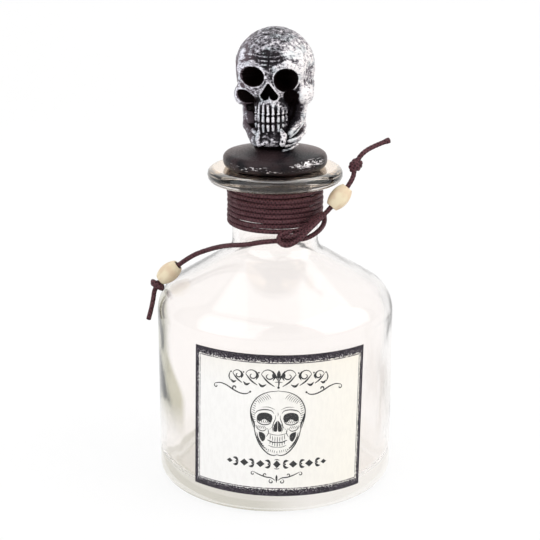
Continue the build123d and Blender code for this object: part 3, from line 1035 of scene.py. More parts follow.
def drawn_skull_half():
    """Right half of the engraved skull: outline, orbit, cheek, jaw, teeth and fine shading lines."""

    def line(points, thick, ends=0.3):
        """One of the skull's lines, drawn with the pen."""
        pen(points, thick, ends, 7)

    def patch(points):
        """One filled patch, with points measured across from the ornament's middle."""
        filled(smooth_path([(ornament_middle + across, up) for across, up in points + points[:1]], 5)[:-1])

    line([(0, 15.4), (4.6, 14.6), (8.4, 12.2), (10.6, 8.4), (10.9, 4.6), (10.2, 1.4), (9.6, -0.6)], 0.42, 0.5)
    line([(10.8, 6.0), (10.2, 3.2), (9.4, 1.0), (9.2, -1.6)], 0.7, 0.2)
    jaw = [(9.5, -0.4), (9.0, -2.6), (8.6, -4.2), (7.4, -7.2), (5.5, -10.0), (3.3, -11.9), (1.4, -12.4)]
    line(jaw + [(0, -12.1)], 0.5, 0.5)
    line([(8.3, -2.6), (7.6, -5.4), (6.2, -8.0), (4.6, -9.8)], 0.55, 0.2)
    # orbit: dark under the brow, lines in its lower part
    brow = [(2.1, 3.4), (2.6, 5.1), (4.8, 6.0), (7.4, 5.5), (8.3, 4.0)]
    patch(brow + [(7.9, 2.4), (6.9, 2.3), (6.0, 3.0), (4.8, 3.1), (3.9, 2.3), (3.0, 1.9)])
    line([(8.3, 4.2), (8.0, 1.9), (5.9, 0.8), (3.4, 1.2), (2.3, 2.7)], 0.4)
    for i in range(6):
        line([(2.9 + 0.85 * i, 3.0), (3.3 + 0.8 * i, 2.1), (3.9 + 0.7 * i, 1.4)], 0.26, 0.2)
    line([(1.5, 5.6), (2.6, 6.9), (5.2, 7.3), (8.0, 6.6), (9.3, 5.0)], 0.42, 0.2)
    line([(1.2, 7.4), (3.6, 8.4), (6.6, 8.3)], 0.22, 0.2)
    # nose and its bridge
    patch([(0.1, 2.7), (0.9, 1.7), (1.7, -0.3), (1.6, -1.7), (0.8, -2.1), (0.15, -1.4)])
    line([(0.9, 5.0), (1.0, 3.4), (1.7, 1.6), (2.1, -0.6), (1.6, -2.4)], 0.3)
    # cheekbone and the hollow under it
    patch([(7.4, -2.3), (7.3, -4.2), (6.1, -6.4), (5.0, -5.6), (4.9, -3.8), (5.9, -2.7)])
    line([(8.9, 0.2), (7.6, -1.4), (5.6, -1.9), (4.0, -0.6)], 0.34)
    line([(3.9, -0.8), (3.6, -2.6), (4.4, -4.4)], 0.3)
    for i in range(5):
        line([(8.6 - 0.75 * i, 0.6 - 0.1 * i), (8.0 - 0.75 * i, -0.3), (7.6 - 0.75 * i, -1.1)], 0.2, 0.2)
    # teeth
    for i in range(4):
        at = 0.45 + 0.95 * i
        drop = 0.12 * i * i
        line([(at - 0.42, -4.3 + drop), (at - 0.46, -5.6 + drop), (at - 0.36, -6.6 + drop)], 0.24, 0.4)
        line([(at - 0.36, -7.0 + drop), (at - 0.42, -7.8 + drop), (at - 0.36, -8.6 + drop)], 0.24, 0.4)
    line([(0, -6.8), (2.0, -6.6), (3.9, -5.7)], 0.46, 0.5)
    line([(0, -3.6), (1.8, -3.4), (3.6, -2.8)], 0.22, 0.4)
    line([(0, -8.9), (1.9, -8.7), (3.6, -8.0)], 0.24, 0.4)
    # shading at temple, crown, jaw and chin
    for i in range(10):
        side = 2.4 + 0.95 * i
        width = 10.7 - 0.028 * max(0.0, side - 5.0) ** 2
        line([(width, side), (width - 1.1, side - 0.5), (width - 2.0 + 0.1 * i, side - 0.7)], 0.22, 0.15)
    for i in range(7):
        side, rise = 9.2 - 0.75 * i, 0.36 * i
        line([(side, 12.0 + rise), (side - 1.2, 10.9 + rise), (side - 1.9, 9.7 + rise)], 0.18, 0.15)
    for i in range(8):
        line([(8.3 - 0.62 * i, -4.6 - 0.85 * i), (7.6 - 0.6 * i, -5.3 - 0.8 * i)], 0.24, 0.2)
    for i in range(5):
        line([(0.9 + 0.8 * i, -10.1 + 0.16 * i), (1.2 + 0.8 * i, -11.5 + 0.3 * i)], 0.2, 0.2)
    for i in range(4):
        line([(1.2 + 0.8 * i, 1.2 - 0.9 * i), (1.8 + 0.7 * i, 0.4 - 0.8 * i)], 0.18, 0.2)


def drawn_skull_middle():
    """Middle lines of the engraved skull: the seam of the nose and the chin's cleft."""
    pen([(0, 6.3), (0.1, 5.4), (0, 4.4)], 0.25, 0.2, 1)
    pen([(0, -10.4), (-0.08, -11.0), (0, -11.6)], 0.25, 0.2, 1)


mirrored(frieze_half)
frieze_middle()
mirrored(frieze_petal)
mirrored(side_flourish)
mirrored(low_row)
low_row_middle()
mirrored(foot_flourish)
foot_drop()
mirrored(drawn_skull_half)
drawn_skull_middle()
add_piece("label_print", "bottle", ink_finish, print_parts())


# Stopper


def disc_parts():
    """The domed disc and its spigot turned about Z, with small dents on the rim."""
    outline = rounded_outline(
        [
            (0, mouth_z - spigot_l, 0),
            (spigot_r, mouth_z - spigot_l, 0),
            (spigot_r, mouth_z, 0),
            (disc_r, mouth_z, disc_edge_r),
            (disc_r, mouth_z + disc_t, disc_edge_r),
            (seat_r, seat_z, 0),
            (0, seat_z, 0),
        ],
        0.8,
        10,
    )[1:-1]
    grid = turned_grid(outline, 240)
    rim = smooth_step(outline[:, 0], 15, disc_r)[:, None]
    dents = 0.1 * soft_noise(grid, 3.0, 31) + 0.05 * soft_noise(grid, 1.1, 32)
    grid[..., :2] *= (1 - rim * np.abs(dents) / disc_r)[..., None]
    turn = np.arctan2(grid[..., 0], -grid[..., 1])
    up = grid[..., 2] - mouth_z
    outer = smooth_step(outline[:, 0], 17.5, 20.5)[:, None]
    front_right = bump_at(turn, radians(42), radians(25)) * bump_at(up, 4.2, 1.4)
    left = bump_at(turn, -radians(25), radians(38)) * bump_at(up, 3.0, 1.3)
    # a dotted silver line along the low edge is a painted highlight, kept in the same layer as the scraped
    # wear
    low_painted_highlight = bump_at(up, 2.0, 0.35) * smooth_step(np.cos(turn), 0.1, 0.7)
    wear_and_highlight = outer * np.maximum(np.maximum(1.6 * front_right, 0.74 * left), low_painted_highlight)
    return closed_grid(grid, [(0, 0, mouth_z - spigot_l), (0, 0, seat_z)]), wear_and_highlight


disc_mesh, disc_wear_and_highlight = disc_parts()
wear_and_highlight_layer = {"wear_and_highlight": np.append(disc_wear_and_highlight.ravel(), [0, 0])}
add_piece("stopper_base", "stopper", disc_finish, disc_mesh, ["stopper_disc"], wear_and_highlight_layer)


def cork_parts():
    """The tapered cork turned about Z, with a blind socket and shallow pores."""
    top_r = bore_r - cork_gap
    low_z = mouth_z - cork_l
    socket_z = mouth_z - spigot_l - socket_spare
    outline = rounded_outline(
        [
            (0, low_z, 0),
            (top_r - cork_taper, low_z, cork_edge_r),
            (top_r, mouth_z, 0),
            (spigot_r + spigot_gap, mouth_z, 0),
            (spigot_r + spigot_gap, socket_z, 0),
            (0, socket_z, 0),
        ],
        0.6,
        8,
    )[1:-1]
    grid = turned_grid(outline, 128)
    outer = smooth_step(outline[:, 0], 8, 13)[:, None]
    pores = np.clip(soft_noise(grid, 1.3, 41) - 0.35, 0, 1)
    grid[..., :2] *= (1 - outer * 0.6 * pores / top_r)[..., None]
    return closed_grid(grid, [(0, 0, low_z), (0, 0, socket_z)])


add_piece("cork_body", "stopper", cork_finish, cork_parts(), ["cork_plug"])


# Skull. Its forms are distances to solids, blended by smooth unions and cuts


def union(one, two, blend):
    """Smooth union of two distances."""
    share = np.clip(0.5 + 0.5 * (two - one) / blend, 0, 1)
    return two + (one - two) * share - blend * share * (1 - share)


def unions(distance, *forms):
    """Smooth unions of a distance with forms in turn, each with its own blend."""
    for form, blend in forms:
        distance = union(distance, form, blend)
    return distance


def cuts(distance, *forms):
    """A distance less forms in turn, each with its own smooth edge."""
    for form, blend in forms:
        distance = -union(-distance, form, blend)
    return distance


def egg(p, place, half):
    """Distance to an ellipsoid, near enough for tracing."""
    q = p - np.array(place)
    half = np.array(half)
    k0 = np.linalg.norm(q / half, axis=-1)
    k1 = np.linalg.norm(q / half**2, axis=-1)
    return k0 * (k0 - 1) / np.maximum(k1, 1e-6)


def rod(p, start, end, start_r, end_r):
    """Distance to a rounded rod whose radius changes along it."""
    start, end = np.array(start, float), np.array(end, float)
    along = np.clip((p - start) @ (end - start) / ((end - start) @ (end - start)), 0, 1)
    near = start + along[..., None] * (end - start)
    return np.linalg.norm(p - near, axis=-1) - (start_r + (end_r - start_r) * along)


def nose_distance(p):
    """Distance to the pear-shaped outline of the nose, seen from the front."""
    flat = p[..., (0, 2)]
    lobes = [rod(flat, (0, 170.7), (side * 1.8, 165.9), 0.6, 1.75) for side in (-1, 1)]
    return union(*lobes, 0.3)


def from_orbit(p):
    """Across and up from the nearer orbit's middle, seen from the front, in its own half sizes."""
    left = p[..., 0] < 0
    across = (np.abs(p[..., 0]) - 6.8) / np.where(left, 4.85, 4.35)
    up = p[..., 2] - np.where(left, 173.7, 173.0)
    half_height = np.where(up < 0, np.where(left, 3.85, 4.95), np.where(left, 3.95, 4.0))
    return across, up / half_height


def chain(p, places, radii):
    """Distance to rounded rods that run from place to place."""
    spans = zip(places[:-1], places[1:], radii[:-1], radii[1:])
    return np.minimum.reduce([rod(p, *span) for span in spans])


# Left cheek's hollow falls by this share towards the nose
cheek_lean = 0.33

# Teeth: how far across each one stands, and where the arch that they stand on lies
tooth_places = [-5.7, -4.3, -2.35, -0.35, 1.65, 3.6, 5.15, 6.2]
arch_half = 6.9
arch_middle = -5.6
arch_depth = 9.6

# Ridges that show on one side of the jaw only: their places and their radii
left_ridge = [
    (-11.2, -5.0, 160.5),
    (-10.1, -7.2, 156.8),
    (-9.0, -8.4, 154.1),
    (-7.7, -10.2, 151.6),
    (-5.6, -12.4, 150.3),
]
jaw_ridges = [
    (left_ridge, 0.75),
    ([(13.2, -4.2, 160.6), (12.4, -6.2, 155.7), (9.6, -9.2, 152.4), (7.9, -10.8, 150.4)], 1.0),
    ([(12.2, -5.4, 153.6), (10.2, -8.6, 151.0), (8.0, -10.6, 149.2)], 0.65),
    ([(12.9, -3.2, 149.8), (11.1, -7.6, 147.9), (7.6, -10.8, 147.4)], 0.85),
    ([(11.4, -6.0, 147.4), (9.6, -8.6, 146.1), (6.4, -11.2, 145.3)], 0.6),
    ([(10.2, -5.8, 145.0), (8.2, -8.4, 144.0), (5.2, -10.6, 143.2)], 0.7),
]
left_knob = [(-4.3, -13.2, 151.4), (-4.9, -13.6, 148.4), (-4.2, -13.6, 146.2), (-2.6, -13.8, 146.4)]
right_knob = [(4.6, -13.2, 152.0), (5.6, -12.6, 149.8), (5.2, -13.2, 146.6)]


def jaw_distance(p, mirror):
    """Distance to both jaws without their teeth: dental block, body, branches, chin and neck."""
    d = unions(
        egg(p, (0.2, -6.6, 161.4), (7.2, 8.2, 6.4)),
        (egg(p, (0.2, -6.6, 153.6), (6.8, 8.2, 8.4)), 1.2),
        (egg(p, (0, 2.5, 157.0), (11.6, 10.5, 13.0)), 1.0),
        (rod(mirror, (10.9, 0.5, 151.4), (11.5, 1.0, 162.5), 1.9, 2.0), 1.6),
        (rod(mirror, (6.0, -9.0, 147.0), (10.9, 0.5, 151.4), 2.6, 2.0), 1.4),
        (egg(p, (0, -9.4, 147.9), (6.9, 4.9, 3.6)), 1.2),
        (rod(p, (0.4, -0.6, 140.0), (0.4, -0.6, 143.6), 9.2, 8.6), 1.6),
        *((chain(p, places, [radius] * len(places)), 0.6) for places, radius in jaw_ridges),
        (chain(p, left_knob, [0.7, 1.0, 1.0, 0.6]), 0.6),
        (chain(p, right_knob, [0.8, 1.4, 1.2]), 0.6),
    )
    return cuts(d, (egg(p, (5.2, -15.2, 147.5), (0.55, 1.6, 0.8)), 0.2))


def skull_distance(p):
    """Distance to the skull: cranium, face, jaws, teeth and cheeks, less its hollows."""
    x, y, z = p[..., 0], p[..., 1], p[..., 2]
    mirror = np.stack([np.abs(x), y, z], -1)
    d = unions(
        egg(p, (0, 2.5, 175.1), (16.3, 19.4, 16.3)),
        (egg(p, (0, -4.6, 170.6), (12.4, 11.2, 8.6)), 2.0),
        (jaw_distance(p, mirror), 1.2),
        # corners of the brow, where forehead and temple meet
        (rod(mirror, (11.4, -10.8, 176.4), (11.6, -9.0, 182.5), 1.4, 0.6), 3.0),
        # cheekbones: a shell open to the front on the left, a full knob on the right
        (egg(p, (-11.9, -6.2, 165.4), (3.5, 5.6, 4.6)), 1.2),
        (egg(p, (13.0, -5.8, 165.8), (3.9, 6.4, 4.4)), 1.6),
        (rod(p, (-13.2, -3.5, 166.8), (-14.2, 5.0, 168.0), 1.6, 1.3), 1.0),
        (rod(p, (14.0, -4.0, 167.2), (14.8, 5.0, 168.4), 2.2, 1.5), 1.2),
        # brow ridges, outer orbit walls and nose bridge
        (rod(mirror, (2.4, -15.6, 177.2), (7.2, -15.0, 178.7), 0.9, 1.1), 1.6),
        (rod(mirror, (7.2, -15.0, 178.7), (12.0, -11.4, 176.6), 1.1, 1.0), 1.6),
        (rod(mirror, (12.0, -11.2, 176.4), (12.4, -9.8, 169.6), 0.9, 0.9), 1.2),
        (rod(p, (0, -14.9, 176.0), (0, -16.0, 171.6), 1.5, 1.0), 1.2),
    )
    across, up = from_orbit(p)
    nose = nose_distance(p)
    leaning = np.stack([x, y, z + cheek_lean * (x + 10.0)], -1)
    d = cuts(
        d,
        # orbits and nose
        (egg(np.stack([4.7 * across, y, 4.4 * up], -1), (0, -14.6, 0), (4.8, 9.8, 4.5)), 0.4),
        (np.maximum(nose, y + 9.5), 0.35),
        # hollows under and beside the cheekbones, at the jaw's branches and at the temples
        (egg(leaning, (-10.0, -13.4, 164.9), (4.1, 7.4, 2.8)), 0.4),
        (egg(p, (8.3, -13.6, 165.1), (3.0, 5.8, 3.9)), 0.45),
        (egg(mirror, (10.6, -9.2, 159.9), (2.6, 4.6, 2.2)), 0.6),
        (egg(p, (-8.3, -10.6, 155.8), (1.6, 3.6, 4.6)), 0.5),
        (egg(p, (8.6, -11.4, 156.6), (1.5, 3.2, 3.6)), 0.5),
        (egg(p, (-17.9, -5.5, 174.6), (4.2, 8.0, 5.6)), 1.2),
        (egg(p, (18.6, -5.5, 174.6), (4.2, 8.0, 5.6)), 1.6),
    )
    # thin rims round orbits and nose
    front = smooth_step(y, -8.5, -12)
    rim = bump_at((np.hypot(across, up) - 1) * 4.4, 0.32, 0.3)
    d = d - front * 0.26 * rim * smooth_step(z, 166.0, 168.5)
    d = d - front * 0.42 * bump_at(nose, 0.36, 0.3) * smooth_step(z, 164.2, 165.4)
    # upper roots, upper teeth and lower teeth
    for across in tooth_places:
        deep = arch_middle - arch_depth * sqrt(1 - (across / arch_half) ** 2)
        odd = sin(7 * across)
        root = (across + 0.25 * odd, deep + 0.3, 162.5 + 0.5 * odd)
        low_root = (across * 0.98, deep + 0.4, 151.8 - 0.4 * odd)
        d = unions(
            d,
            (rod(p, root, (across, deep + 0.1, 159.7), 0.4, 0.5), 0.25),
            (rod(p, (across + 0.2, deep, 158.9), (across - 0.2, deep, 158.7), 0.5, 0.5), 0.25),
            (rod(p, (across, deep - 0.1, 157.5 + 0.2 * odd), (across, deep, 156.0), 0.6, 0.68), 0.2),
            (rod(p, (across, deep, 154.0), low_root, 0.6, 0.45), 0.2),
        )
    return d


def solve_skull():
    """The skull's surface: each ray of a grid steps inwards by its distance until it meets the solid.

    Rays run level towards the axis up to the brow and then turn upwards about one middle. They
    stand closer together at the face. Small wrinkles, scars and pits then move the surface
    along its rays.
    """
    columns, level_rows, dome_rows = 370, 178, 84
    share = np.linspace(0, 2 * pi, columns, endpoint=False)
    turn = share - 0.52 * np.sin(share)
    dome_z = 173.0
    level = np.linspace(seat_z, dome_z, level_rows, endpoint=False)
    heights = np.append(level, np.full(dome_rows, dome_z))
    rise = np.append(np.zeros(level_rows), np.linspace(0, radians(88.8), dome_rows))
    out = np.cos(rise)[:, None]
    ways = np.stack([out * np.sin(turn), -out * np.cos(turn), np.sin(rise)[:, None] + 0 * turn], -1)
    middles = np.stack([0 * heights, 2.5 * smooth_step(heights, 146.0, 168.0), heights], -1)[:, None]
    start_reach, least_reach, step_share, near_enough, most_steps = 27.0, 2.0, 0.75, 0.005, 90
    reach = np.full(ways[..., 0].size, start_reach)
    from_places = np.broadcast_to(middles, ways.shape).reshape(-1, 3)
    along = ways.reshape(-1, 3)
    moving = np.arange(len(reach))
    for _ in range(most_steps):
        distance = skull_distance(from_places[moving] + along[moving] * reach[moving, None])
        reach[moving] = np.maximum(reach[moving] - step_share * distance, least_reach)
        moving = moving[np.abs(distance) > near_enough]
    reach = reach.reshape(ways.shape[:2])
    p = middles + ways * reach[..., None]
    x, y, z = p[..., 0], p[..., 1], p[..., 2]
    at_front = smooth_step(y, -6, -12)
    # frown lines over the nose, broken in the middle, and two lines that follow each brow
    across = bump_at(x, 0, 5.2, 4) * (1 - 0.8 * bump_at(x, 0, 0.7))
    frown = np.cos(2 * pi * (z - 0.05 * np.abs(x) - 177.0) / 1.5) * bump_at(z, 179.3, 2.9, 4) * across
    brow = np.cos(2 * pi * (z + 0.03 * (np.abs(x) - 7) ** 2 - 179.6) / 1.35)
    brow *= bump_at(np.abs(x), 7.6, 3.6, 4) * bump_at(z, 181.0, 1.5, 4)
    broken = 0.6 + 0.8 * soft_noise(p, 1.9, 53)
    lift = (0.24 * frown + 0.16 * brow) * at_front * broken
    lift -= 0.25 * bump_at(x, 0, 0.35) * bump_at(z, 179.5, 4.0, 4) * at_front
    # pits and lumps
    rough = soft_noise(p, 1.1, 51)
    fine = soft_noise(p, 0.55, 52)
    temple = bump_at(x, 13.8, 2.4) * bump_at(z, 174, 7, 4)
    chin = bump_at(x, 0, 3.2, 4) * bump_at(z, 148.6, 3.0, 4) * at_front
    gums = bump_at(x, 0, 7.0, 4) * bump_at(z, 162.0, 1.2) * at_front
    amount = 0.08 + 0.28 * temple + 0.38 * chin + 0.2 * gums + 0.05 * smooth_step(z, 180, 186)
    lift += amount * rough + 0.05 * fine
    reach = reach + lift
    return middles + ways * reach[..., None], reach


def blurred(values, spans):
    """A grid of values averaged over a span of rows and of columns, which close round, three times."""
    for _ in range(3):
        row_span, column_span = spans
        total = sum(np.roll(values, k, 1) for k in range(-column_span, column_span + 1))
        values = total / (2 * column_span + 1)
        padded = np.pad(values, ((row_span, row_span), (0, 0)), "edge")
        values = sum(padded[k : k + values.shape[0]] for k in range(2 * row_span + 1)) / (2 * row_span + 1)
    return values


skull_grid, skull_reach = solve_skull()


def silver_cover(grid, reach):
    """How much silver the brush left: more on what stands proud at three widths, less in hollows. It also
    holds a painted highlight on the right and painted shade down the hollows' walls.
    """
    x, y, z = grid[..., 0], grid[..., 1], grid[..., 2]
    fine = np.clip((reach - blurred(reach, (2, 2))) / 0.1, -1, 1)
    filled = np.maximum(reach, blurred(reach, (14, 16)) - 0.3)
    middle = np.clip((reach - blurred(filled, (5, 6))) / 0.42, -1.3, 0.7)
    wide = np.clip((reach - blurred(filled, (14, 16))) / 2.0, -1.5, 0.4)
    cover = 0.38 + 0.24 * fine + 0.34 * middle + 0.28 * wide
    front = smooth_step(y, 0, -8)
    face = smooth_step(z, 176, 170) * front
    # more silver on the right half of the face and head, a painted highlight of the light from the right; the
    # brush left the middle of the forehead dark
    cover += front * 0.75 * bump_at(x, 9.4, 3.8) * bump_at(z, 181.6, 3.4)
    cover += 0.14 * smooth_step(z, 180, 185)
    cover += front * 0.26 * bump_at(x, -10.8, 2.4) * bump_at(z, 181.4, 3.4)
    cover += front * 0.16 * bump_at(x, -0.5, 3.0) * bump_at(z, 185.6, 1.4)
    cover -= front * 0.36 * bump_at(x, 0.6, 4.6, 4) * bump_at(z, 180.6, 4.0, 4)
    cover += 0.3 * bump_at(x, 13.6, 3.2) * bump_at(z, 166.4, 3.2, 4)
    cover += 0.7 * smooth_step(x, 11.0, 13.5) * bump_at(z, 175.5, 7.0, 4) * smooth_step(y, 8.0, 0.0)
    cover -= 0.25 * bump_at(x, -12.6, 2.4) * bump_at(z, 165.8, 4.0, 4) * smooth_step(y, -2, -6)
    cover += 0.24 * smooth_step(x, 3, 12) * smooth_step(z, 178, 184)
    cover += 0.16 * smooth_step(x, 10, 15) * smooth_step(z, 160, 168)
    cover += 0.12 * smooth_step(x, 4, 9) * smooth_step(z, 158, 150)
    # orbits, nose, cheeks, hollows beside the teeth and the mouth's corners stay black
    orbit, nose = np.hypot(*from_orbit(grid)), nose_distance(grid)
    cheek = np.hypot((x + 10.0) / 3.8, (z + cheek_lean * (x + 10.0) - 164.9) / 2.6)
    broken = np.clip(0.75 + 1.3 * soft_noise(grid, 1.5, 54), 0.1, 1.3)
    cover += 0.42 * broken * smooth_step(y, -6, -9) * bump_at(orbit, 1.14, 0.05)
    nose_rim = broken * smooth_step(y, -10, -13) * bump_at(nose, 0.36, 0.28) * smooth_step(z, 163.6, 164.6)
    cover += 0.42 * nose_rim
    cover += 0.5 * broken * smooth_step(y, -3, -6) * smooth_step(x, -5.2, -6.6) * bump_at(cheek, 1.2, 0.13)
    cover -= 0.75 * front * bump_at(x, -6.9, 2.3, 4) * bump_at(z, 163.2, 1.7, 4)
    cover -= 1.6 * smooth_step(y, 4, 0) * smooth_step(orbit, 1.11, 1.02)
    cover -= 1.2 * smooth_step(y, -4, -8) * smooth_step(nose, 0.1, -0.15)
    cover -= 1.6 * smooth_step(y, 2, -4) * smooth_step(x, -4.6, -6) * smooth_step(cheek, 1.06, 0.94)
    cover -= face * 0.6 * bump_at(x, 8.4, 3.2, 4) * bump_at(z, 165.0, 3.8, 4)
    cover -= face * 0.2 * bump_at(x, -8.9, 1.6) * bump_at(z, 156.5, 3.5, 4)
    cover -= 0.3 * smooth_step(x, -7.0, -8.5) * smooth_step(z, 162.4, 160.0)
    # gaps between the teeth
    off_tooth = np.min([np.abs(x - place) for place in tooth_places], 0)
    in_row = smooth_step(y, -8, -10) * bump_at(x, 0.3, 7.0, 8) * bump_at(z, 156.8, 5.4, 8)
    cover -= 0.9 * in_row * smooth_step(off_tooth, 0.55, 0.85)
    cover += 0.25 * in_row * smooth_step(off_tooth, 0.45, 0.2)
    cover -= front * 0.2 * bump_at(x, 0, 5.0, 4) * bump_at(z, 167.5, 2.6, 4) * (1 - bump_at(x, 0, 4.4, 8))
    cover -= 0.4 * smooth_step(z, 145.6, 144.2) * (1 - 0.8 * smooth_step(x, 3, 6))
    # the stretched faces down the walls of the hollows turn black close to their rims, a painted shade
    cover -= 6.0 * smooth_step(cover, -0.8, -1.3)
    return np.where(cover > 0, np.tanh(cover), cover)


def in_place(points):
    """Skull places turned and moved to its seat."""
    turn = radians(skull_turn)
    x = points[..., 0] * cos(turn) - points[..., 1] * sin(turn) + skull_shift
    y = points[..., 0] * sin(turn) + points[..., 1] * cos(turn)
    return np.stack([x, y, points[..., 2]], -1)


skull_cover = silver_cover(skull_grid, skull_reach)
skull_ends = in_place(np.array([(0, 0, seat_z), skull_grid[-1].mean(0) + np.array([0, 0, 0.01])]))
skull_mesh = closed_grid(in_place(skull_grid), skull_ends)
raised_layer = {"silver_and_painted_light": np.append(skull_cover.ravel(), [0.3, 0.4])}
add_piece(
    "skull_head",
    "stopper",
    skull_finish,
    skull_mesh,
    ["skull_finial"],
    raised_layer,
    sharp=180,
)


# Cord


def winding_path():
    """A helix down the neck that ends at the tie, a little uneven in height and radius."""
    first = winding_end_angle - 360 * turns
    angle = np.linspace(first, winding_end_angle, 1500)
    drop = turn_pitch * (winding_end_angle - angle) / 360
    place = np.stack([np.sin(np.radians(angle)), -np.cos(np.radians(angle))], -1)
    wander = soft_noise(np.stack([angle / 40, 0 * angle, 0 * angle], -1), 1.0, 61)
    calm_start = smooth_step(angle, first, first + 20)
    calm = smooth_step(angle, winding_end_angle, winding_end_angle - 30) * calm_start
    radius = winding_r + winding_unevenness * calm * wander
    height = winding_low + drop + winding_unevenness * calm * np.roll(wander, 110)
    return np.column_stack([place * radius[:, None], height])


def add_cord(name, node, mesh_parts):
    """A piece of the cord, which rides on the bottle."""
    return add_piece(name, "bottle", cord_finish, mesh_parts, [node])


winding = winding_path()
end_angle = radians(winding_end_angle)
winding_way = np.array([cos(end_angle), sin(end_angle), -turn_pitch / (2 * pi * winding_r)])
tie_routes = [
    [winding[-1], winding[-1] + winding_way * wound_d, *tie_left_route, left_exit],
    [*tie_right_route, right_exit],
    tie_middle_route,
]
add_cord("cord_winding", "neck_winding", cord_tube(winding))
tie_strands = [cord_tube(spline_points("tie_line", route, 14)) for route in tie_routes]
add_cord("cord_tie", "tie_knot", joined(tie_strands))


def run_frame(start, end, along):
    """A place on a straight run and three unit vectors, the last along the run."""
    start, end = np.array(start), np.array(end)
    way = (end - start) / np.linalg.norm(end - start)
    side = np.cross(way, (0.0, -1.0, 0.0))
    side /= np.linalg.norm(side)
    return start + way * along, side, np.cross(way, side), way


def set_in(points, framing):
    """Points in a frame's own coordinates put in their place."""
    place, one, two, way = framing
    return place + points[..., :1] * one + points[..., 1:2] * two + points[..., 2:] * way


def bead_parts(framing):
    """An oval bead with a hole through it, turned about its run, and a layer of painted shade that darkens
    the hole.
    """
    half = bead_l / 2
    bulge = ((bead_r - bead_end_r) ** 2 + half**2) / (2 * (bead_r - bead_end_r))
    heights = np.linspace(-half * 0.8, half * 0.8, 13)
    side = [(bead_r - bulge + sqrt(bulge**2 - h**2), h) for h in heights]
    low_end = [(bead_bore_r, -half, 0.3), (bead_end_r, -half, 0.4)]
    high_end = [(bead_end_r, half, 0.4), (bead_bore_r, half, 0.3)]
    outline = rounded_outline([*low_end, *((radius, h, 0) for radius, h in side), *high_end], 0.8, 6, True)
    grid = turned_grid(outline, 64)
    painted_bore_shade = smooth_step(outline[:, 0], bead_bore_r + 0.45, bead_bore_r + 0.02)[:, None] + 0 * grid[..., 0]
    return closed_grid(set_in(grid, framing)), painted_bore_shade.ravel()


def knot_path(framing, wide, deep, long, wraps, start, lean):
    """An overhand knot's wraps round its cord: an oval spiral that begins and ends at the cord.

    Leaning, each turn climbs on one side and falls on the other.
    """
    share = np.linspace(0, 1, 90)
    turn = 2 * pi * wraps * share + radians(start)
    away = np.clip(np.sin(pi * share), 0, 1) ** 0.4
    along = long * (share - 0.5) + lean * wide * away * np.cos(turn + 0.6)
    local = np.stack([wide * away * np.cos(turn), deep * away * np.sin(turn), along], -1)
    return set_in(local, framing)


def place_past(path, place, further):
    """A frame on a cord, a length further along it than its nearest place to a point."""
    lengths = np.append(0, np.cumsum(np.linalg.norm(np.diff(path, axis=0), axis=1)))
    near = lengths[np.argmin(np.linalg.norm(path - place, axis=1))] + further
    at = np.array([np.interp(near, lengths, path[:, k]) for k in range(3)])
    ahead = np.array([np.interp(near + 0.5, lengths, path[:, k]) for k in range(3)])
    return run_frame(at, ahead, 0)


tails = {
    "left": {
        "route": [left_exit, *left_tail_route],
        "run": (left_tail_route[4], left_tail_route[5]),
        "bead_along": left_bead_along,
        "knot_past": bead_l / 2 + left_bead_rest + left_knot_l / 2,
        "knot": (2.5, 1.7, 1.7, 2.3, 40, 0.0),
        "end_swell": 0.0,
    },
    "right": {
        "route": [right_exit, *right_tail_route],
        "run": (right_tail_route[0], right_tail_route[1]),
        "bead_along": right_bead_along,
        "knot_past": bead_l / 2 + right_bead_play + right_knot_l / 2,
        "knot": (1.75, 1.7, 4.4, 3.6, 100, 0.35),
        "end_swell": 0.32,
    },
}
for side, tail in tails.items():
    path = spline_points(f"{side}_tail_line", tail["route"], 16)
    cord_piece = add_cord(f"{side}_cord_tail", f"{side}_tail", cord_tube(path, end_swell=tail["end_swell"]))
    framing = run_frame(*tail["run"], tail["bead_along"])
    bead_mesh, painted_bore_shade = bead_parts(framing)
    bead_node = f"{side}_bead"
    bead_piece = add_piece(
        f"{side}_wood_bead", bead_node, bead_finish, bead_mesh, [bead_node], {"painted_bore_shade": painted_bore_shade}
    )
    knot_line = knot_path(place_past(path, framing[0], tail["knot_past"]), *tail["knot"])
    knot_piece = add_cord(f"{side}_stop_knot", f"{side}_end_knot", cord_tube(knot_line))
    length = np.linalg.norm(np.diff(path, axis=0), axis=1).sum()


# Studio

floor_half = 3000.0
wall_y = 1400.0
wall_h = 2600.0
wall_bend = 500.0
floor_glow = 0.86
air_light = 0.45
lamps_aim = Vector((0, 0, 0.1))


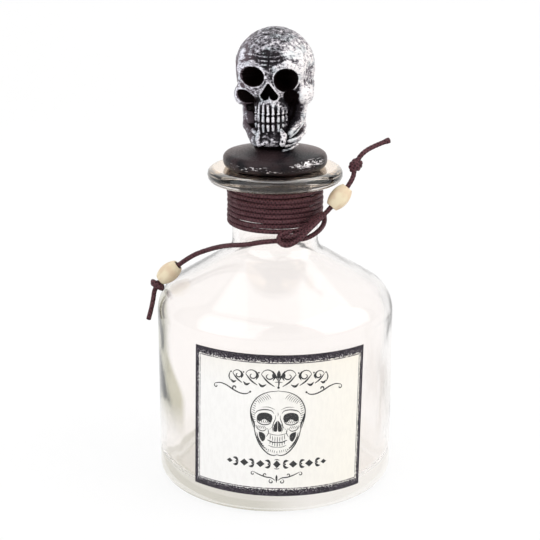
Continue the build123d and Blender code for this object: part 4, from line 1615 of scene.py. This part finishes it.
def studio_floor():
    """A pale floor that bends up into a back wall: a profile along Y carried across X."""
    profile = rounded_outline([(-floor_half, 0, 0), (wall_y, 0, wall_bend), (wall_y, wall_h, 0)], 1000.0, 16)
    across = np.linspace(-floor_half, floor_half, 5)
    deep, up = profile[:, :1], profile[:, 1:]
    grid = np.stack([across + 0 * deep, deep + 0 * across, up + 0 * across], -1)
    quads, _, _ = grid_faces(len(profile), 5)
    mesh = bpy.data.meshes.new("studio_floor")
    mesh.from_pydata((grid.reshape(-1, 3) * MM).tolist(), [], quads[:, ::-1].tolist())
    mesh.shade_smooth()
    finish = Finish("studio_paper", Roughness=0.9, Specular_IOR_Level=0.0, Base_Color=(0.93, 0.93, 0.93, 1))
    tree = finish.tree
    glow = finish.node("Emission", {"Color": (1, 1, 1, 1), "Strength": 1.0})
    path = finish.node("LightPath")
    seen = finish.sum(path.outputs["Is Camera Ray"], path.outputs["Is Glossy Ray"], "MAXIMUM")
    seen = finish.sum(seen, path.outputs["Is Transmission Ray"], "MAXIMUM")
    mixed = finish.node("MixShader", {0: finish.times(seen, floor_glow)})
    tree.links.new(finish.shader.outputs[0], mixed.inputs[1])
    tree.links.new(glow.outputs[0], mixed.inputs[2])
    tree.links.new(mixed.outputs[0], tree.nodes["Material Output"].inputs[0])
    mesh.materials.append(finish.material)
    floor = bpy.data.objects.new("studio_floor", mesh)
    bpy.context.scene.collection.objects.link(floor)
    return floor


studio_floor()


def soft_lamp(name, place, size, power, colour):
    """A wide lamp aimed at the bottle's middle."""
    light = bpy.data.lights.new(name, "AREA")
    light.shape = "RECTANGLE"
    light.size, light.size_y = size
    light.energy = power
    light.color = colour
    lamp = bpy.data.objects.new(name, light)
    lamp.location = place
    aim = lamps_aim - Vector(place)
    lamp.rotation_euler = aim.to_track_quat("-Z", "Y").to_euler()
    bpy.context.scene.collection.objects.link(lamp)


soft_lamp("left_softbox", (-1.1, -1.0, 0.95), (2.2, 1.8), 16.0, (0.95, 0.975, 1.0))
soft_lamp("right_softbox", (1.25, -0.35, 0.95), (1.8, 1.8), 15.0, (1.0, 0.975, 0.93))
soft_lamp("top_softbox", (0.2, 0.2, 1.4), (2.0, 1.6), 9.0, (1.0, 1.0, 1.0))


def studio_air():
    """White where the camera sees it, straight or through glass, and a weaker light elsewhere."""
    world = bpy.data.worlds.new("studio_air")
    world.use_nodes = True
    nodes, links = world.node_tree.nodes, world.node_tree.links
    path = nodes.new("ShaderNodeLightPath")
    seen = nodes.new("ShaderNodeMath")
    seen.operation = "MAXIMUM"
    links.new(path.outputs["Is Camera Ray"], seen.inputs[0])
    links.new(path.outputs["Is Transmission Ray"], seen.inputs[1])
    level = nodes.new("ShaderNodeMapRange")
    level.inputs["To Min"].default_value = air_light
    level.inputs["To Max"].default_value = 1.0
    links.new(seen.outputs[0], level.inputs["Value"])
    background = nodes["Background"]
    background.inputs["Color"].default_value = (1, 1, 1, 1)
    links.new(level.outputs["Result"], background.inputs["Strength"])
    return world


bpy.context.scene.world = studio_air()

# Camera

camera_data = bpy.data.cameras.new("photo_camera")
camera_data.lens = camera_lens
camera_data.sensor_width = camera_sensor
camera_data.shift_x = camera_shift
camera = bpy.data.objects.new("photo_camera", camera_data)
tilt = radians(camera_elevation)
camera.location = (
    0,
    -camera_distance * cos(tilt) * MM,
    (camera_target_z + camera_distance * sin(tilt)) * MM,
)
camera.rotation_euler = (pi / 2 - tilt, 0, 0)
bpy.context.scene.collection.objects.link(camera)
bpy.context.scene.camera = camera

bpy.context.scene.view_settings.view_transform = "Standard"
